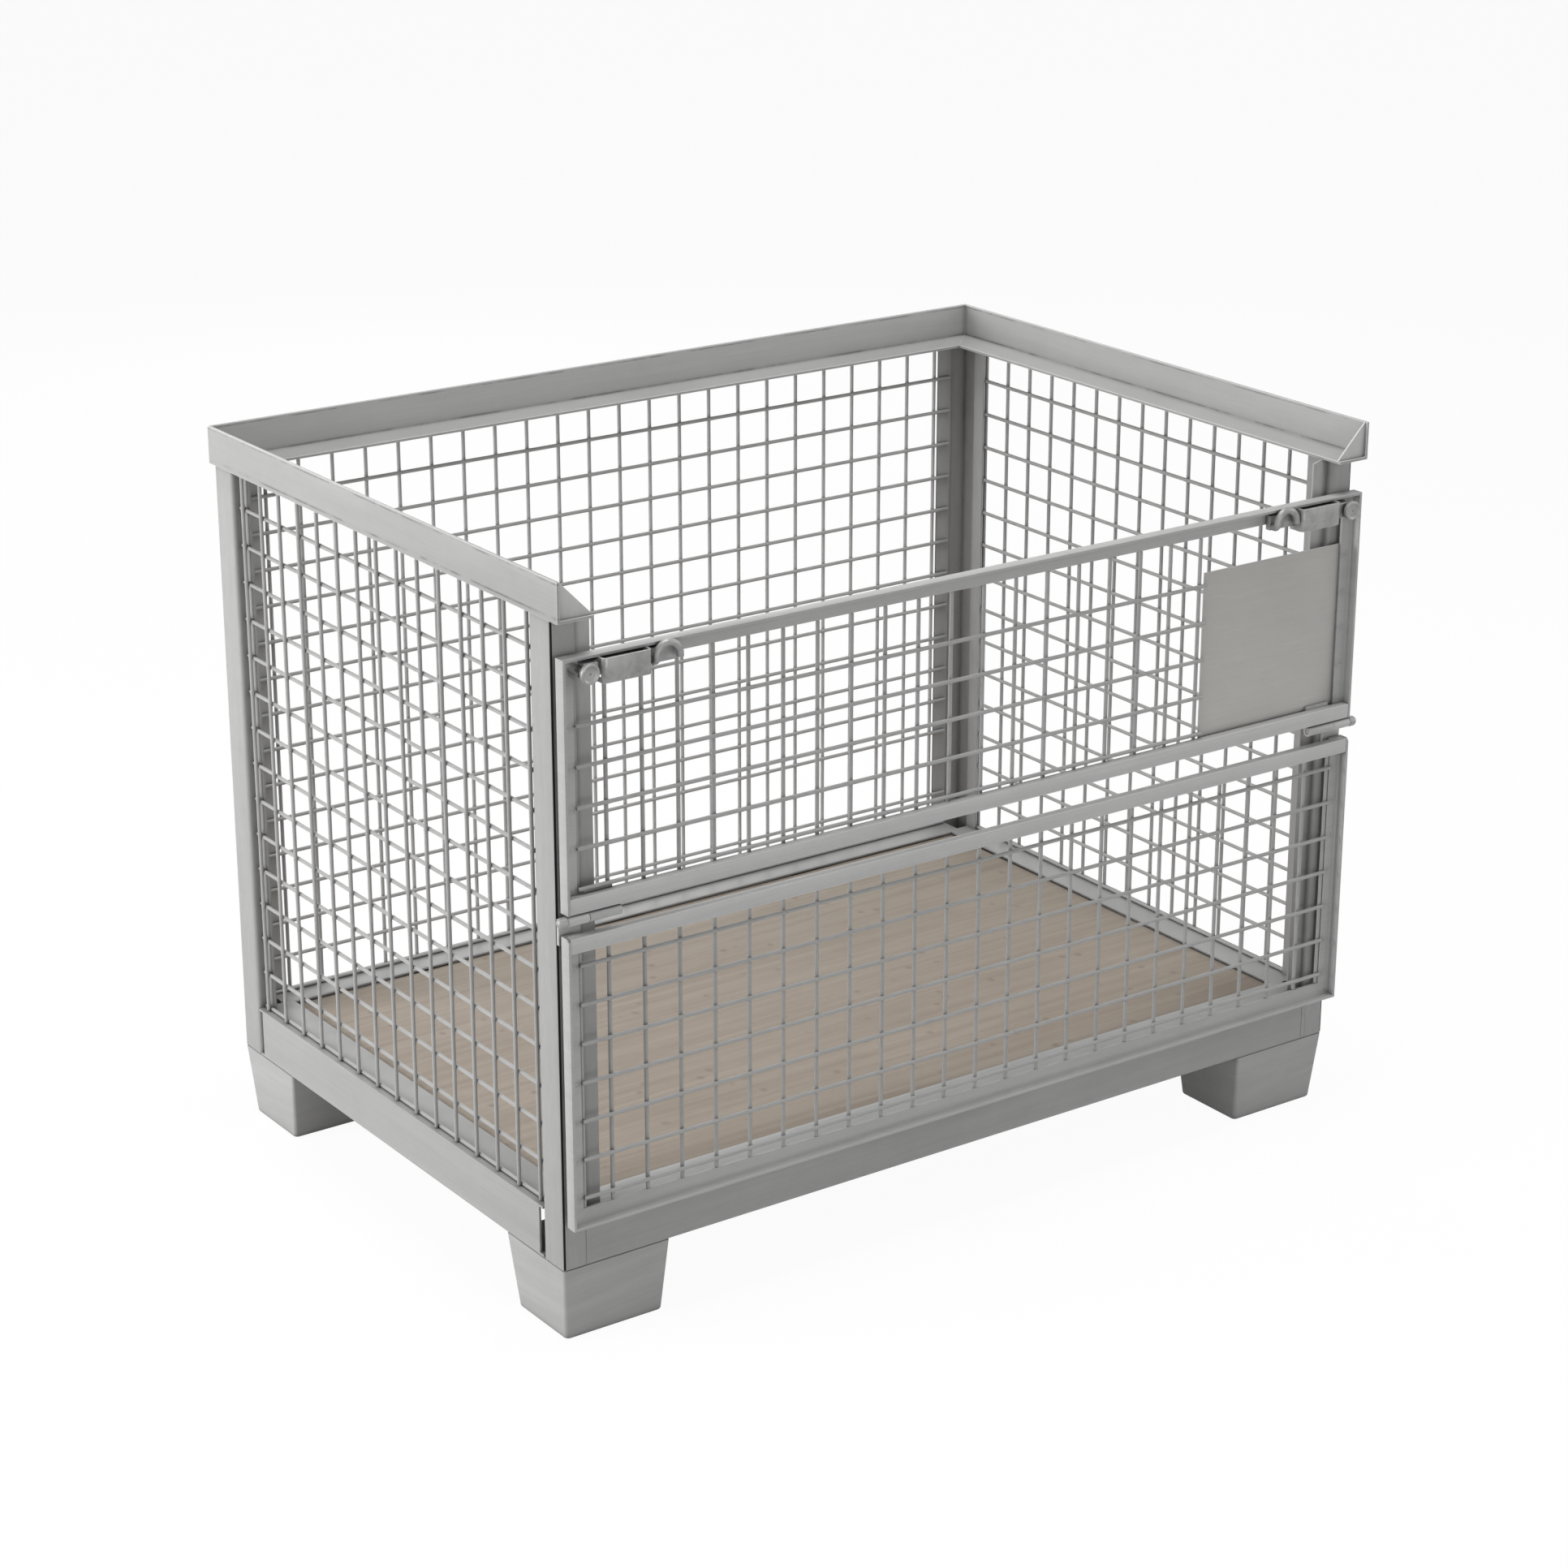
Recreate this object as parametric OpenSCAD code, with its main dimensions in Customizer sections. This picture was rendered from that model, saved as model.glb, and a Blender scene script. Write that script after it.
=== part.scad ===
// Wire-mesh transport cage on four pressed feet, with two fold-down front gates.
// X runs along the long front, -Y is the front, Z is up from the ground.
// The origin lies on the ground, at the middle of the footprint.

/* [Overall] */
// Length over the top rails
cage_l = 1240; // [1100:10:1600]
// Width over the posts and the back rail's overhang, taken on both sides
cage_w = 835; // [720:5:1200]
// Height from the ground to the top of the rails
cage_h = 970; // [920:10:1200]

/* [Top rails] */
// Height of a rail's upright leg
rail_h = 50; // [40:1:60]
// Width of a rail's flat leg
rail_w = 49; // [45:1:56]
// Thickness of a rail's steel
rail_t = 4; // [3:0.5:6]
// Overhang of the rails over the posts' side faces
rail_over_x = 4; // [2:0.5:8]
// Overhang of the back rail over the posts' back faces
rail_over_y = 7; // [4:0.5:10]
// Reach of the side rails' open ends past the posts' front faces, up to the gates' front edge
rail_reach = 24; // [12:0.5:28]
// Thickness of the gusset plate that closes a rail's open end
gusset_t = 3; // [2:0.5:5]
// Distance from the rail's open end to its gusset
gusset_set = 3; // [1:0.5:6]

/* [Posts] */
// Thickness of the posts' steel
post_t = 3; // [2:0.5:4]
// Width of a post's leg on the side of the cage
post_side = 45; // [38:1:55]
// Width of a post's leg on the front or back
post_front = 36; // [34:1:44]
// Depth of the fold behind the side leg, which the side mesh lies against
side_fold = 14; // [12:0.5:18]
// Width of the lip past the side leg's fold
side_lip = 20; // [12:1:26]
// Depth of the fold behind the front leg
front_fold = 9; // [7:0.5:12]
// Width of the lip past the front leg's fold
front_lip = 23; // [18:1:28]
// Radius of the post's wide bends, at the middle of the sheet
post_bend = 4; // [2.5:0.5:5]
// Slope cut off the top end of the front lip
lip_slope = 5; // [2:0.5:12]
// Width of the groove down the corner
groove_w = 2.2; // [1:0.1:3]
// Depth of the groove down the corner
groove_d = 1.6; // [0.5:0.1:2]

/* [Feet] */
// Height of a foot, which is the height of the fork entries
foot_h = 100; // [80:1:130]
// Length of a foot's top, along X
foot_l = 153; // [120:1:180]
// Width of a foot's top, along Y
foot_w = 133; // [110:1:160]
// Thickness of a foot's steel
foot_t = 3; // [2:0.5:5]
// Lean of a foot's outer face on the side of the cage
foot_out_x = 7.4; // [2:0.2:14]
// Lean of a foot's inner face along X
foot_in_x = 6.6; // [2:0.2:14]
// Lean of a foot's outer face on the front or back
foot_out_y = 9.6; // [2:0.2:14]
// Lean of a foot's inner face along Y
foot_in_y = 14; // [2:0.5:18]
// Diameter of the drain hole in a foot's sole
drain_d = 14; // [8:1:20]

/* [Base frame] */
// Height of the base rails
base_h = 68; // [60:1:90]
// Thickness of the base rails' steel
base_t = 3; // [2:0.5:5]
// Width of the base rails' top flange
flange_w = 52; // [48:1:70]
// Width of the base rails' bottom flange
toe_w = 25; // [15:1:30]
// Open slot between a side rail's web and the post
slot_w = 9; // [5:1:15]
// Setback of the front and back rails from the posts' faces
base_set = 0.5; // [0.2:0.1:1]

/* [Floor] */
// Thickness of the floor board
board_t = 20; // [12:1:24]
// Depth of the board's top below the flanges
board_drop = 4; // [2:1:8]
// Gap around the board
board_gap = 1; // [0.5:0.5:3]
// Width of a bearer
bearer_w = 60; // [40:5:80]
// Height of a bearer
bearer_h = 30; // [20:1:32]
// Thickness of a bearer's steel
bearer_t = 2.5; // [2:0.5:4]
// Distance between bearers
bearer_pitch = 330; // [250:10:380]

/* [Mesh] */
// Diameter of the mesh wires
wire_d = 5; // [4:0.5:6]
// Distance between neighbouring wires
mesh_pitch = 50; // [40:5:60]
// How far crossing wires are welded into each other
weld = 0.5; // [0.3:0.1:1]
// Height over the base of the wall mesh's first pitch line
mesh_foot = 2; // [1:1:20]
// Lap of the back mesh's cross wires on the posts' lips
mesh_lap = 17; // [8:1:18]

/* [Gates] */
// Overhang of the gates over the posts' side faces
gate_over = -2; // [-4:0.5:3]
// Gap between the posts' front faces and the gates' frames
gate_gap = 8; // [6:0.5:9]
// Width of the frame angle's leg that lies flat on the gate
angle_w = 21; // [18:1:26]
// Depth of the frame angle, over its outward leg
angle_d = 16; // [14:1:22]
// Thickness of the frame angle
angle_t = 3.5; // [3:0.5:4.5]
// Radius of the fillet inside the frame angle
angle_r = 3; // [1:0.5:4]
// Height of the cross tubes
tube_h = 19.5; // [16:0.5:26]
// Thickness of the cross tubes' wall
tube_t = 2; // [1.5:0.5:3]
// Length of the weld between mesh uprights and a cross tube
tube_weld = 5.5; // [3:0.5:8]
// How far the lower gate laps over the base rail
gate_lap = 6.8; // [5:0.2:10]
// Height of the lower gate
lower_h = 376; // [300:4:440]
// Gap between the two gates
mid_gap = 29.4; // [26:0.2:40]
// Depth of the upper gate's top below the top rails
gate_drop = 93.2; // [70:0.2:120]
// Height of the lower mesh's first wire over the bottom angle
lower_start = 14.3; // [6:0.1:30]
// Height of the upper mesh's first wire over the bottom tube
upper_start = 5.9; // [5:0.1:30]
// Chamfer on the lower gate's upright ends
end_chamfer = 4; // [2:0.5:6]

/* [Name plate] */
// Width of the blank plate
plate_w = 234; // [150:0.5:400]
// Height of the blank plate over the bottom tube
plate_h = 221; // [100:1:240]
// Thickness of the blank plate
plate_t = 1.5; // [1:0.5:2]
// Lap of the plate behind the frame
plate_lap = 5.5; // [3:0.5:10]
// Height of the plate's lower edge over the tube's underside
plate_foot = 7.5; // [2:0.5:9]

/* [Upper gate hinges] */
// Diameter of a hinge knuckle
knuckle_d = 12.5; // [11:0.5:14]
// Diameter of a hinge pin
pin_d = 7; // [5:0.5:8]
// Radial clearance of a pin in its turning knuckle
pin_clear = 0.05; // [0.02:0.01:0.1]
// Length of the gate's knuckle
knuckle_gate = 44; // [30:1:60]
// Length of the post's knuckle
knuckle_post = 29; // [24:1:32]
// Gap between the two knuckles, and between knuckle and pin head
knuckle_gap = 0.5; // [0.2:0.1:1]
// Gap between the knuckle and the gate above it
hinge_clear = 1.35; // [1:0.05:3]
// Distance of the hinge axis behind the gate's front edge
hinge_set = 4; // [3:0.5:6]
// Height of the gate's leaf over its tube
leaf_rise = 4.4; // [2:0.2:8]
// Thickness of the post's leaf
leaf_post_t = 4; // [3:0.5:4]
// Height of the post's leaf
leaf_post_h = 33; // [24:1:33]
// Diameter of the pin's domed head
pin_head_d = 16.5; // [14:0.5:18]
// Length of the pin's domed head
pin_head_l = 13; // [8:0.5:16]

/* [Lower gate hinges] */
// Diameter of a barrel
barrel_d = 7.5; // [7:0.5:8]
// Diameter of a barrel's pin
barrel_pin = 4; // [3:0.5:4.5]
// Length of each half of a barrel pair
barrel_l = 20; // [15:1:30]
// Gap between the two halves of a barrel pair
barrel_gap = 0.45; // [0.3:0.05:0.6]
// Gap around a fixed barrel inside the gate's angle
barrel_room = 0.6; // [0.4:0.1:1]
// Distance of the barrels' axis below the gate
barrel_drop = 0.7; // [0.5:0.1:1.5]
// How far the pad that carries a fixed barrel reaches into it
pad_in = 1.55; // [1.2:0.05:1.9]
// Distance of the barrels' axis behind the gate's back face
barrel_in = 0.8; // [0.6:0.1:1]
// Height of the pad below the barrels' axis
pad_h = 8; // [6:1:14]
// Distance between barrel pairs
barrel_pitch = 450; // [300:10:500]

/* [Latches] */
// Distance of a stud from the gate's side edge
stud_in = 28.3; // [26:0.1:31]
// Distance of a stud below the gate's top
stud_drop = 17.5; // [17:0.5:22]
// Diameter of the stud's shank
shank_d = 10; // [8:0.5:12]
// Diameter of the stud's head
head_d = 25; // [20:1:26]
// Thickness of the stud's head
head_t = 6; // [4:0.5:8]
// Radius of the rounded rim of the stud's head
head_r = 1.5; // [0.5:0.5:2]
// Diameter of the weld collar at the stud's root
collar_d = 15; // [12:1:16]
// Thickness of the weld collar
collar_t = 3; // [1:0.5:4]
// How far the stud stands out of the post
stud_reach = 39; // [37:0.5:43]
// Radius of the room that the frame leaves around a stud
stud_room = 14.5; // [13.5:0.5:15]
// Width of the guide
guide_w = 67; // [50:1:80]
// Distance of the guide from the gate's side edge
guide_in = 47; // [45:1:60]
// Depth of the guide in front of the frame
guide_d = 24; // [22:1:28]
// Height of the guide
guide_h = 29.8; // [26:0.2:34]
// Thickness of the guide's steel
guide_t = 3; // [2:0.5:3]
// Bend radius of the guide, at the middle of the sheet
guide_bend = 4.5; // [2.5:0.5:6]
// Height of the sliding bar
bar_h = 19; // [17:0.5:20]
// Thickness of the sliding bar
bar_t = 7.5; // [6:0.5:8]
// Thickness of the fork block in front of the bar
block_t = 9; // [6:0.5:9]
// Length of the fork block
block_l = 17.5; // [15:0.5:20]
// Gap around the bar in the guide, and behind it
bar_gap = 1; // [0.5:0.1:1.2]
// Gap around the stud's shank in the fork
fork_gap = 0.4; // [0.2:0.1:1]
// How far the fork reaches past the stud's axis
fork_past = 1.8; // [1:0.2:4]
// Distance of the bar's inner end from the gate's side edge
bar_reach = 157; // [150:1:180]
// Diameter of the hook's rod
hook_d = 9; // [7:0.5:9]
// Radius of the hook's arch, at the middle of the rod
hook_r = 16.25; // [14:0.25:20]
// Radius of the hook's elbow, at the middle of the rod
elbow_r = 4.7; // [4.6:0.1:6]
// Distance of the hook's middle from the gate's side edge
hook_in = 137.5; // [135:0.5:145]
// Sideways offset of both hooks, which are the same part
hook_shift = 1.25; // [0:0.25:1.5]
// Gap between the hook and the frame's front edge
hook_gap = 1; // [0.5:0.1:2]
// Length of the straight tip at the hook's free end
hook_tip = 3.5; // [1:0.5:8]

/* [Hidden] */
paint = [0.74, 0.75, 0.75];
wire_paint = [0.70, 0.70, 0.69];
board_brown = [0.47, 0.38, 0.31];
bright = [0.80, 0.80, 0.79];
// Small excess that carries a cut past a surface
eps = 1;
bend_steps = 5;
left = -1;
right = 1;
front = -1;
back = 1;

// Outer faces of the posts
post_x = cage_l / 2 - rail_over_x;
post_y = cage_w / 2 - rail_over_y;
rail_front = -post_y - rail_reach;
post_top = cage_h - rail_h;
sill = foot_h + base_h;
// A fold with almost no inner radius
tight = post_t / 2 + 0.3;
// Wall mesh, as depths behind the posts' outer faces
side_cross = side_fold - wire_d / 2;
back_cross = front_fold + post_t + wire_d / 2;
wire_step = wire_d - weld;
lip_end = post_front + front_lip;
// Levels of the gates
lower_z = sill - gate_lap;
lower_top = lower_z + lower_h;
upper_z = lower_top + mid_gap;
upper_top = cage_h - gate_drop;
// Planes of the gates
gate_x = post_x + gate_over;
gate_back = -post_y - gate_gap;
gate_face = gate_back - angle_t;
gate_front = gate_back - angle_d;
gate_open = gate_x - angle_w;
tube_d = angle_d - angle_t;
tube_x = gate_x - angle_t;
// Upper hinge axis
hinge_y = gate_front + hinge_set;
hinge_z = upper_z - knuckle_d / 2 - hinge_clear;
knuckle_split = gate_x - knuckle_post;
leaf_in = 4.5;
leaf_x0 = knuckle_split - knuckle_gap - knuckle_gate + leaf_in;
leaf_x1 = knuckle_split - 2 * knuckle_gap;
// Lower hinge axis
sill_face = -post_y + base_set;
barrel_y = gate_back + barrel_in;
barrel_z = lower_z - barrel_drop;
// Latch
stud_x = gate_x - stud_in;
stud_z = upper_top - stud_drop;
guide_x1 = gate_x - guide_in;
guide_x0 = guide_x1 - guide_w;
guide_y = gate_face - guide_d;
guide_top = upper_top - angle_t;
bar_back = gate_face - bar_gap;
bar_front = bar_back - bar_t;
bar_end = stud_x + fork_past;
hook_y = gate_front - hook_gap - hook_d / 2;
hook_foot_z = stud_z - bar_h / 2 + hook_d / 2;
hook_arch_z = hook_foot_z + elbow_r;
// Blank plate
plate_x = gate_open - plate_w;
plate_top = upper_z + tube_h + plate_h;

// Direction of a step from a to b, in degrees
function heading(a, b) = atan2(b[1] - a[1], b[0] - a[0]);
// Unit vector to the left of a direction
function left_of(h) = [-sin(h), cos(h)];
function turn_at(p, i) =
  let (d = heading(p[i], p[i + 1]) - heading(p[i - 1], p[i]))
  d > 180 ? d - 360 : d < -180 ? d + 360 : d;
// One side of a bend of radius r at point i, off to the left of the middle line
function bend_points(p, i, r, off) =
  let (h = heading(p[i - 1], p[i]), d = turn_at(p, i), s = sign(d),
       start = p[i] - r * tan(abs(d) / 2) * [cos(h), sin(h)],
       centre = start + s * r * left_of(h))
  [for (k = [0:bend_steps]) centre + (off - s * r) * left_of(h + d * k / bend_steps)];
function sheet_side(p, radii, off) = concat(
  [p[0] + off * left_of(heading(p[0], p[1]))],
  [for (i = [1:len(p) - 2]) each bend_points(p, i, radii[i - 1], off)],
  [p[len(p) - 1] + off * left_of(heading(p[len(p) - 2], p[len(p) - 1]))]);
function reversed(v) = [for (i = [len(v) - 1:-1:0]) v[i]];
// Outline of a bent sheet from its middle line, bend radii and thickness
function sheet_outline(p, radii, t) =
  concat(sheet_side(p, radii, t / 2), reversed(sheet_side(p, radii, -t / 2)));
// Section of an L with its heel at the origin: w flat along X, d deep along Y
function angle_section(w, d, t, r) = concat(
  [[0, 0], [w, 0], [w, t]],
  [for (k = [0:bend_steps]) [t + r, t + r] + r * [cos(270 - 90 * k / bend_steps), sin(270 - 90 * k / bend_steps)]],
  [[t, d], [0, d]]);
function turned_up(section) = [for (p = section) [-p[1], p[0]]];
function turned_down(section) = [for (p = section) [-p[1], -p[0]]];
// Places on a pitch, as many as fit between the two ends
function on_pitch(start, from, to) =
  [for (k = [ceil((from - start) / mesh_pitch):floor((to - start) / mesh_pitch)]) start + k * mesh_pitch];

gate_section = angle_section(angle_w, angle_d, angle_t, angle_r);

// Puts a corner piece, drawn inwards from the origin, at one of the four corners
module at_corner(sx, sy) {
  mirror([sx > 0 ? 1 : 0, 0, 0])
    mirror([0, sy > 0 ? 1 : 0, 0])
      translate([-post_x, -post_y, 0])
        children();
}

// Mirrors a left-hand piece to the right-hand side
module on_side(sx) {
  mirror([sx > 0 ? 1 : 0, 0, 0])
    children();
}

// Extrudes a section along X, its own X becoming Y and its own Y becoming Z
module along_x(from, to) {
  translate([from, 0, 0])
    rotate([90, 0, 90])
      linear_extrude(to - from)
        children();
}

// Extrudes a front view from y = from back to y = to
module along_y(from, to) {
  translate([0, to, 0])
    rotate([90, 0, 0])
      linear_extrude(to - from)
        children();
}

module box(x0, x1, y0, y1, z0, z1) {
  translate([x0, y0, z0])
    cube([x1 - x0, y1 - y0, z1 - z0]);
}

module post(sx, sy) {
  middle = [
    [side_fold + post_t / 2, post_side + side_lip],
    [side_fold + post_t / 2, post_side - post_t / 2],
    [post_t / 2, post_side - post_t / 2],
    [post_t / 2, post_t / 2],
    [post_front - post_t / 2, post_t / 2],
    [post_front - post_t / 2, front_fold + post_t / 2],
    [lip_end, front_fold + post_t / 2]
  ];
  groove_x = 1;
  slope_x = rail_w - rail_over_x;
  color(paint)
    at_corner(sx, sy)
      difference() {
        translate([0, 0, foot_h])
          linear_extrude(post_top - foot_h)
            polygon(sheet_outline(middle, [tight, post_bend, tight, post_bend, tight], post_t));
        // Both lips end on the base's flanges
        box(side_fold - eps, side_fold + post_t + eps, post_side, post_side + side_lip + eps,
            foot_h - eps, sill);
        box(post_front, lip_end + eps, front_fold - eps, front_fold + post_t + eps, foot_h - eps, sill);
        box(groove_x, groove_x + groove_w, -eps, groove_d, foot_h - eps, post_top + eps);
        along_y(front_fold - eps, front_fold + post_t + eps)
          polygon([[slope_x, post_top], [slope_x, post_top + eps], [lip_end + eps, post_top + eps],
                   [lip_end + eps, post_top - lip_slope]]);
      }
}

// Tapered block of a foot between two heights, with its sides moved in
module foot_block(inset, z0, z1) {
  function lean(a, z) = a * (1 - z / foot_h) + inset;
  intersection() {
    along_y(0, foot_w)
      polygon([[lean(foot_out_x, z0), z0], [foot_l - lean(foot_in_x, z0), z0],
               [foot_l - lean(foot_in_x, z1), z1], [lean(foot_out_x, z1), z1]]);
    along_x(0, foot_l)
      polygon([[lean(foot_out_y, z0), z0], [foot_w - lean(foot_in_y, z0), z0],
               [foot_w - lean(foot_in_y, z1), z1], [lean(foot_out_y, z1), z1]]);
  }
}

module foot(sx, sy) {
  color(paint)
    at_corner(sx, sy)
      difference() {
        foot_block(0, 0, foot_h);
        foot_block(foot_t, foot_t, foot_h - foot_t);
        translate([foot_l / 2, foot_w / 2, -eps])
          cylinder(d = drain_d, h = foot_t + 2 * eps, $fn = 32);
      }
}

module base_rail_long(sy) {
  web_x = post_x - post_front;
  flange_x = post_x - flange_w;
  color(paint)
    mirror([0, sy > 0 ? 1 : 0, 0])
      union() {
        box(-web_x, web_x, sill_face, sill_face + base_t, foot_h, sill);
        box(-web_x, web_x, sill_face, sill_face + toe_w, foot_h, foot_h + base_t);
        box(-web_x, web_x, sill_face, -post_y + post_side, sill - base_t, sill);
        box(-flange_x, flange_x, sill_face, -post_y + flange_w, sill - base_t, sill);
      }
}

module base_rail_side(sx) {
  reach = post_y - post_side;
  web_y = reach - slot_w;
  color(paint)
    on_side(sx)
      union() {
        box(-post_x, -post_x + base_t, -web_y, web_y, foot_h, sill);
        box(-post_x, -post_x + toe_w, -reach, reach, foot_h, foot_h + base_t);
        box(-post_x, -post_x + flange_w, -reach, reach, sill - base_t, sill);
      }
}

module floor_bearer(place) {
  bearer_y = -sill_face - base_t;
  top = sill - board_drop - board_t;
  color(paint)
    translate([place * bearer_pitch, 0, 0])
      difference() {
        box(-bearer_w / 2, bearer_w / 2, -bearer_y, bearer_y, top - bearer_h, top);
        box(-bearer_w / 2 + bearer_t, bearer_w / 2 - bearer_t, -bearer_y - eps, bearer_y + eps,
            top - bearer_h + bearer_t, top - bearer_t);
      }
}

module floor_board() {
  board_x = post_x - flange_w - board_gap;
  board_y = post_y - flange_w - board_gap;
  top = sill - board_drop;
  color(board_brown)
    box(-board_x, board_x, -board_y, board_y, top - board_t, top);
}

module top_rail_side(sx) {
  color(paint)
    on_side(sx)
      intersection() {
        translate([-cage_l / 2, 0, post_top])
          along_y(rail_front, cage_w / 2)
            polygon(angle_section(rail_w, rail_h, rail_t, rail_t / 2));
        translate([0, 0, post_top - eps])
          linear_extrude(rail_h + 2 * eps)
            polygon([[-cage_l / 2, rail_front], [-cage_l / 2 + rail_w, rail_front],
                     [-cage_l / 2 + rail_w, cage_w / 2 - rail_w], [-cage_l / 2, cage_w / 2]]);
      }
}

module top_rail_back() {
  color(paint)
    intersection() {
      translate([0, cage_w / 2, post_top])
        along_x(-cage_l / 2, cage_l / 2)
          mirror([1, 0])
            polygon(angle_section(rail_w, rail_h, rail_t, rail_t / 2));
      translate([0, 0, post_top - eps])
        linear_extrude(rail_h + 2 * eps)
          polygon([[-cage_l / 2, cage_w / 2], [cage_l / 2, cage_w / 2],
                   [cage_l / 2 - rail_w, cage_w / 2 - rail_w], [-cage_l / 2 + rail_w, cage_w / 2 - rail_w]]);
    }
}

module rail_gusset(sx) {
  y0 = rail_front + gusset_set;
  heel_x = -cage_l / 2 + rail_t;
  heel_z = post_top + rail_t;
  clip = rail_t / 2;
  color(paint)
    on_side(sx)
      along_y(y0, y0 + gusset_t)
        polygon([[heel_x + clip, heel_z], [-cage_l / 2 + rail_w, heel_z], [heel_x, cage_h], [heel_x, heel_z + clip]]);
}

// Wire as a prism of eight sides whose flats are wire_d apart
module wire(length) {
  rotate(22.5)
    cylinder(d = wire_d / cos(22.5), h = length, $fn = 8);
}

// Uprights in the plane y = near and cross wires in the plane y = far
module mesh(uprights, z0, z1, near, crossings, x0, x1, far) {
  color(wire_paint)
    union() {
      for (x = uprights)
        translate([x, near, z0])
          wire(z1 - z0);
      for (z = crossings)
        translate([x0, far, z])
          rotate([0, 90, 0])
            wire(x1 - x0);
    }
}

wall_crossings = concat([sill + wire_d / 2],
  on_pitch(sill + mesh_foot, sill + mesh_foot + wire_d, post_top - wire_d));

module side_mesh(sx) {
  reach = post_y - post_side;
  on_side(sx)
    translate([-post_x, 0, 0])
      rotate(-90)
        mesh(on_pitch(0, -reach + wire_d, reach - wire_d), sill, post_top, side_cross - wire_step,
             wall_crossings, -reach, reach, side_cross);
}

module back_mesh() {
  reach = post_x - lip_end;
  translate([0, post_y, 0])
    mirror([0, 1, 0])
      mesh(on_pitch(0, -reach + wire_d, reach - wire_d), sill, post_top, back_cross - wire_step,
           wall_crossings, -reach - mesh_lap, reach + mesh_lap, back_cross);
}

module latch_stud(sx) {
  color(bright)
    translate([sx * stud_x, -post_y, stud_z])
      rotate([90, 0, 0])
        rotate_extrude($fn = 48)
          polygon(concat(
            [[0, 0], [collar_d / 2, 0], [shank_d / 2, collar_t], [shank_d / 2, stud_reach - head_t],
             [head_d / 2, stud_reach - head_t]],
            [for (k = [0:bend_steps]) [head_d / 2 - head_r, stud_reach - head_r]
              + head_r * [cos(90 * k / bend_steps), sin(90 * k / bend_steps)]],
            [[0, stud_reach]]));
}

// Cylinder along X, on the upper hinge's axis
module on_hinge(x0, x1, d) {
  translate([x0, hinge_y, hinge_z])
    rotate([0, 90, 0])
      cylinder(d = d, h = x1 - x0, $fn = 48);
}

module post_hinge_leaf(sx) {
  leaf_face = -post_y - leaf_post_t;
  web_low = hinge_z - knuckle_d / 2;
  color(paint)
    on_side(sx)
      difference() {
        union() {
          on_hinge(-gate_x, -knuckle_split, knuckle_d);
          box(-gate_x, -knuckle_split, hinge_y, -post_y, web_low, web_low + leaf_post_t);
          box(-post_x + eps, -knuckle_split, leaf_face, -post_y, web_low + leaf_post_t - leaf_post_h,
              web_low + leaf_post_t);
        }
        on_hinge(-gate_x - eps, -knuckle_split + eps, pin_d);
      }
}

module gate_hinge_leaf(sx) {
  x0 = -knuckle_split + knuckle_gap;
  color(paint)
    on_side(sx)
      difference() {
        union() {
          on_hinge(x0, x0 + knuckle_gate, knuckle_d);
          box(-leaf_x1, -leaf_x0, hinge_y, gate_back, hinge_z, hinge_z + angle_t);
          box(-leaf_x1, -leaf_x0, gate_face, gate_back, hinge_z, upper_z + tube_h + leaf_rise);
        }
        on_hinge(x0 - eps, x0 + knuckle_gate + eps, pin_d + 2 * pin_clear);
      }
}

module hinge_pin(sx) {
  shank_end = knuckle_split - knuckle_gap - knuckle_gate;
  head_x = gate_x + knuckle_gap;
  dome = pin_head_d / 2;
  color(bright)
    translate([sx * shank_end, hinge_y, hinge_z])
      rotate([0, sx * 90, 0])
        rotate_extrude($fn = 48)
          polygon(concat(
            [[0, 0], [pin_d / 2, 0], [pin_d / 2, head_x - shank_end], [dome, head_x - shank_end]],
            [for (k = [0:2 * bend_steps])
              [dome * cos(90 * k / (2 * bend_steps)),
               head_x - shank_end + pin_head_l - dome + dome * sin(90 * k / (2 * bend_steps))]]));
}

// Cylinder along X, on the lower hinge's axis
module on_sill_axis(x0, x1, d) {
  translate([x0, barrel_y, barrel_z])
    rotate([0, 90, 0])
      cylinder(d = d, h = x1 - x0, $fn = 32);
}

module sill_barrel(place) {
  x = place * barrel_pitch;
  color(paint)
    difference() {
      union() {
        on_sill_axis(x - barrel_l, x, barrel_d);
        box(x - barrel_l, x, barrel_y + barrel_d / 2 - pad_in, sill_face, barrel_z - pad_h, barrel_z);
      }
      on_sill_axis(x - barrel_l - eps, x + eps, barrel_pin);
    }
}

module sill_pin(place) {
  x = place * barrel_pitch;
  color(bright)
    on_sill_axis(x - barrel_l, x + barrel_gap + barrel_l, barrel_pin);
}

// Room in the upper gate's corner for the stud and its head
module stud_hole(sx) {
  intersection() {
    translate([sx * stud_x, gate_back + eps, stud_z])
      rotate([90, 0, 0])
        cylinder(r = stud_room, h = angle_t + eps, $fn = 64);
    box(-gate_x, gate_x, gate_face, gate_back + eps, stud_z - stud_room - eps, upper_top - angle_t);
  }
}

module upper_gate_top_angle() {
  color(paint)
    difference() {
      intersection() {
        translate([0, gate_back, upper_top])
          along_x(-gate_x, gate_x)
            polygon(turned_down(gate_section));
        along_y(gate_front - eps, gate_back + eps)
          polygon([[-gate_x, upper_top], [gate_x, upper_top], [gate_open, upper_top - angle_w],
                   [-gate_open, upper_top - angle_w]]);
      }
      stud_hole(left);
      stud_hole(right);
    }
}

module gate_cross_tube(z0) {
  color(paint)
    difference() {
      box(-tube_x, tube_x, gate_front, gate_face, z0, z0 + tube_h);
      box(-tube_x - eps, tube_x + eps, gate_front + tube_t, gate_face - tube_t, z0 + tube_t,
          z0 + tube_h - tube_t);
    }
}

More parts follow.
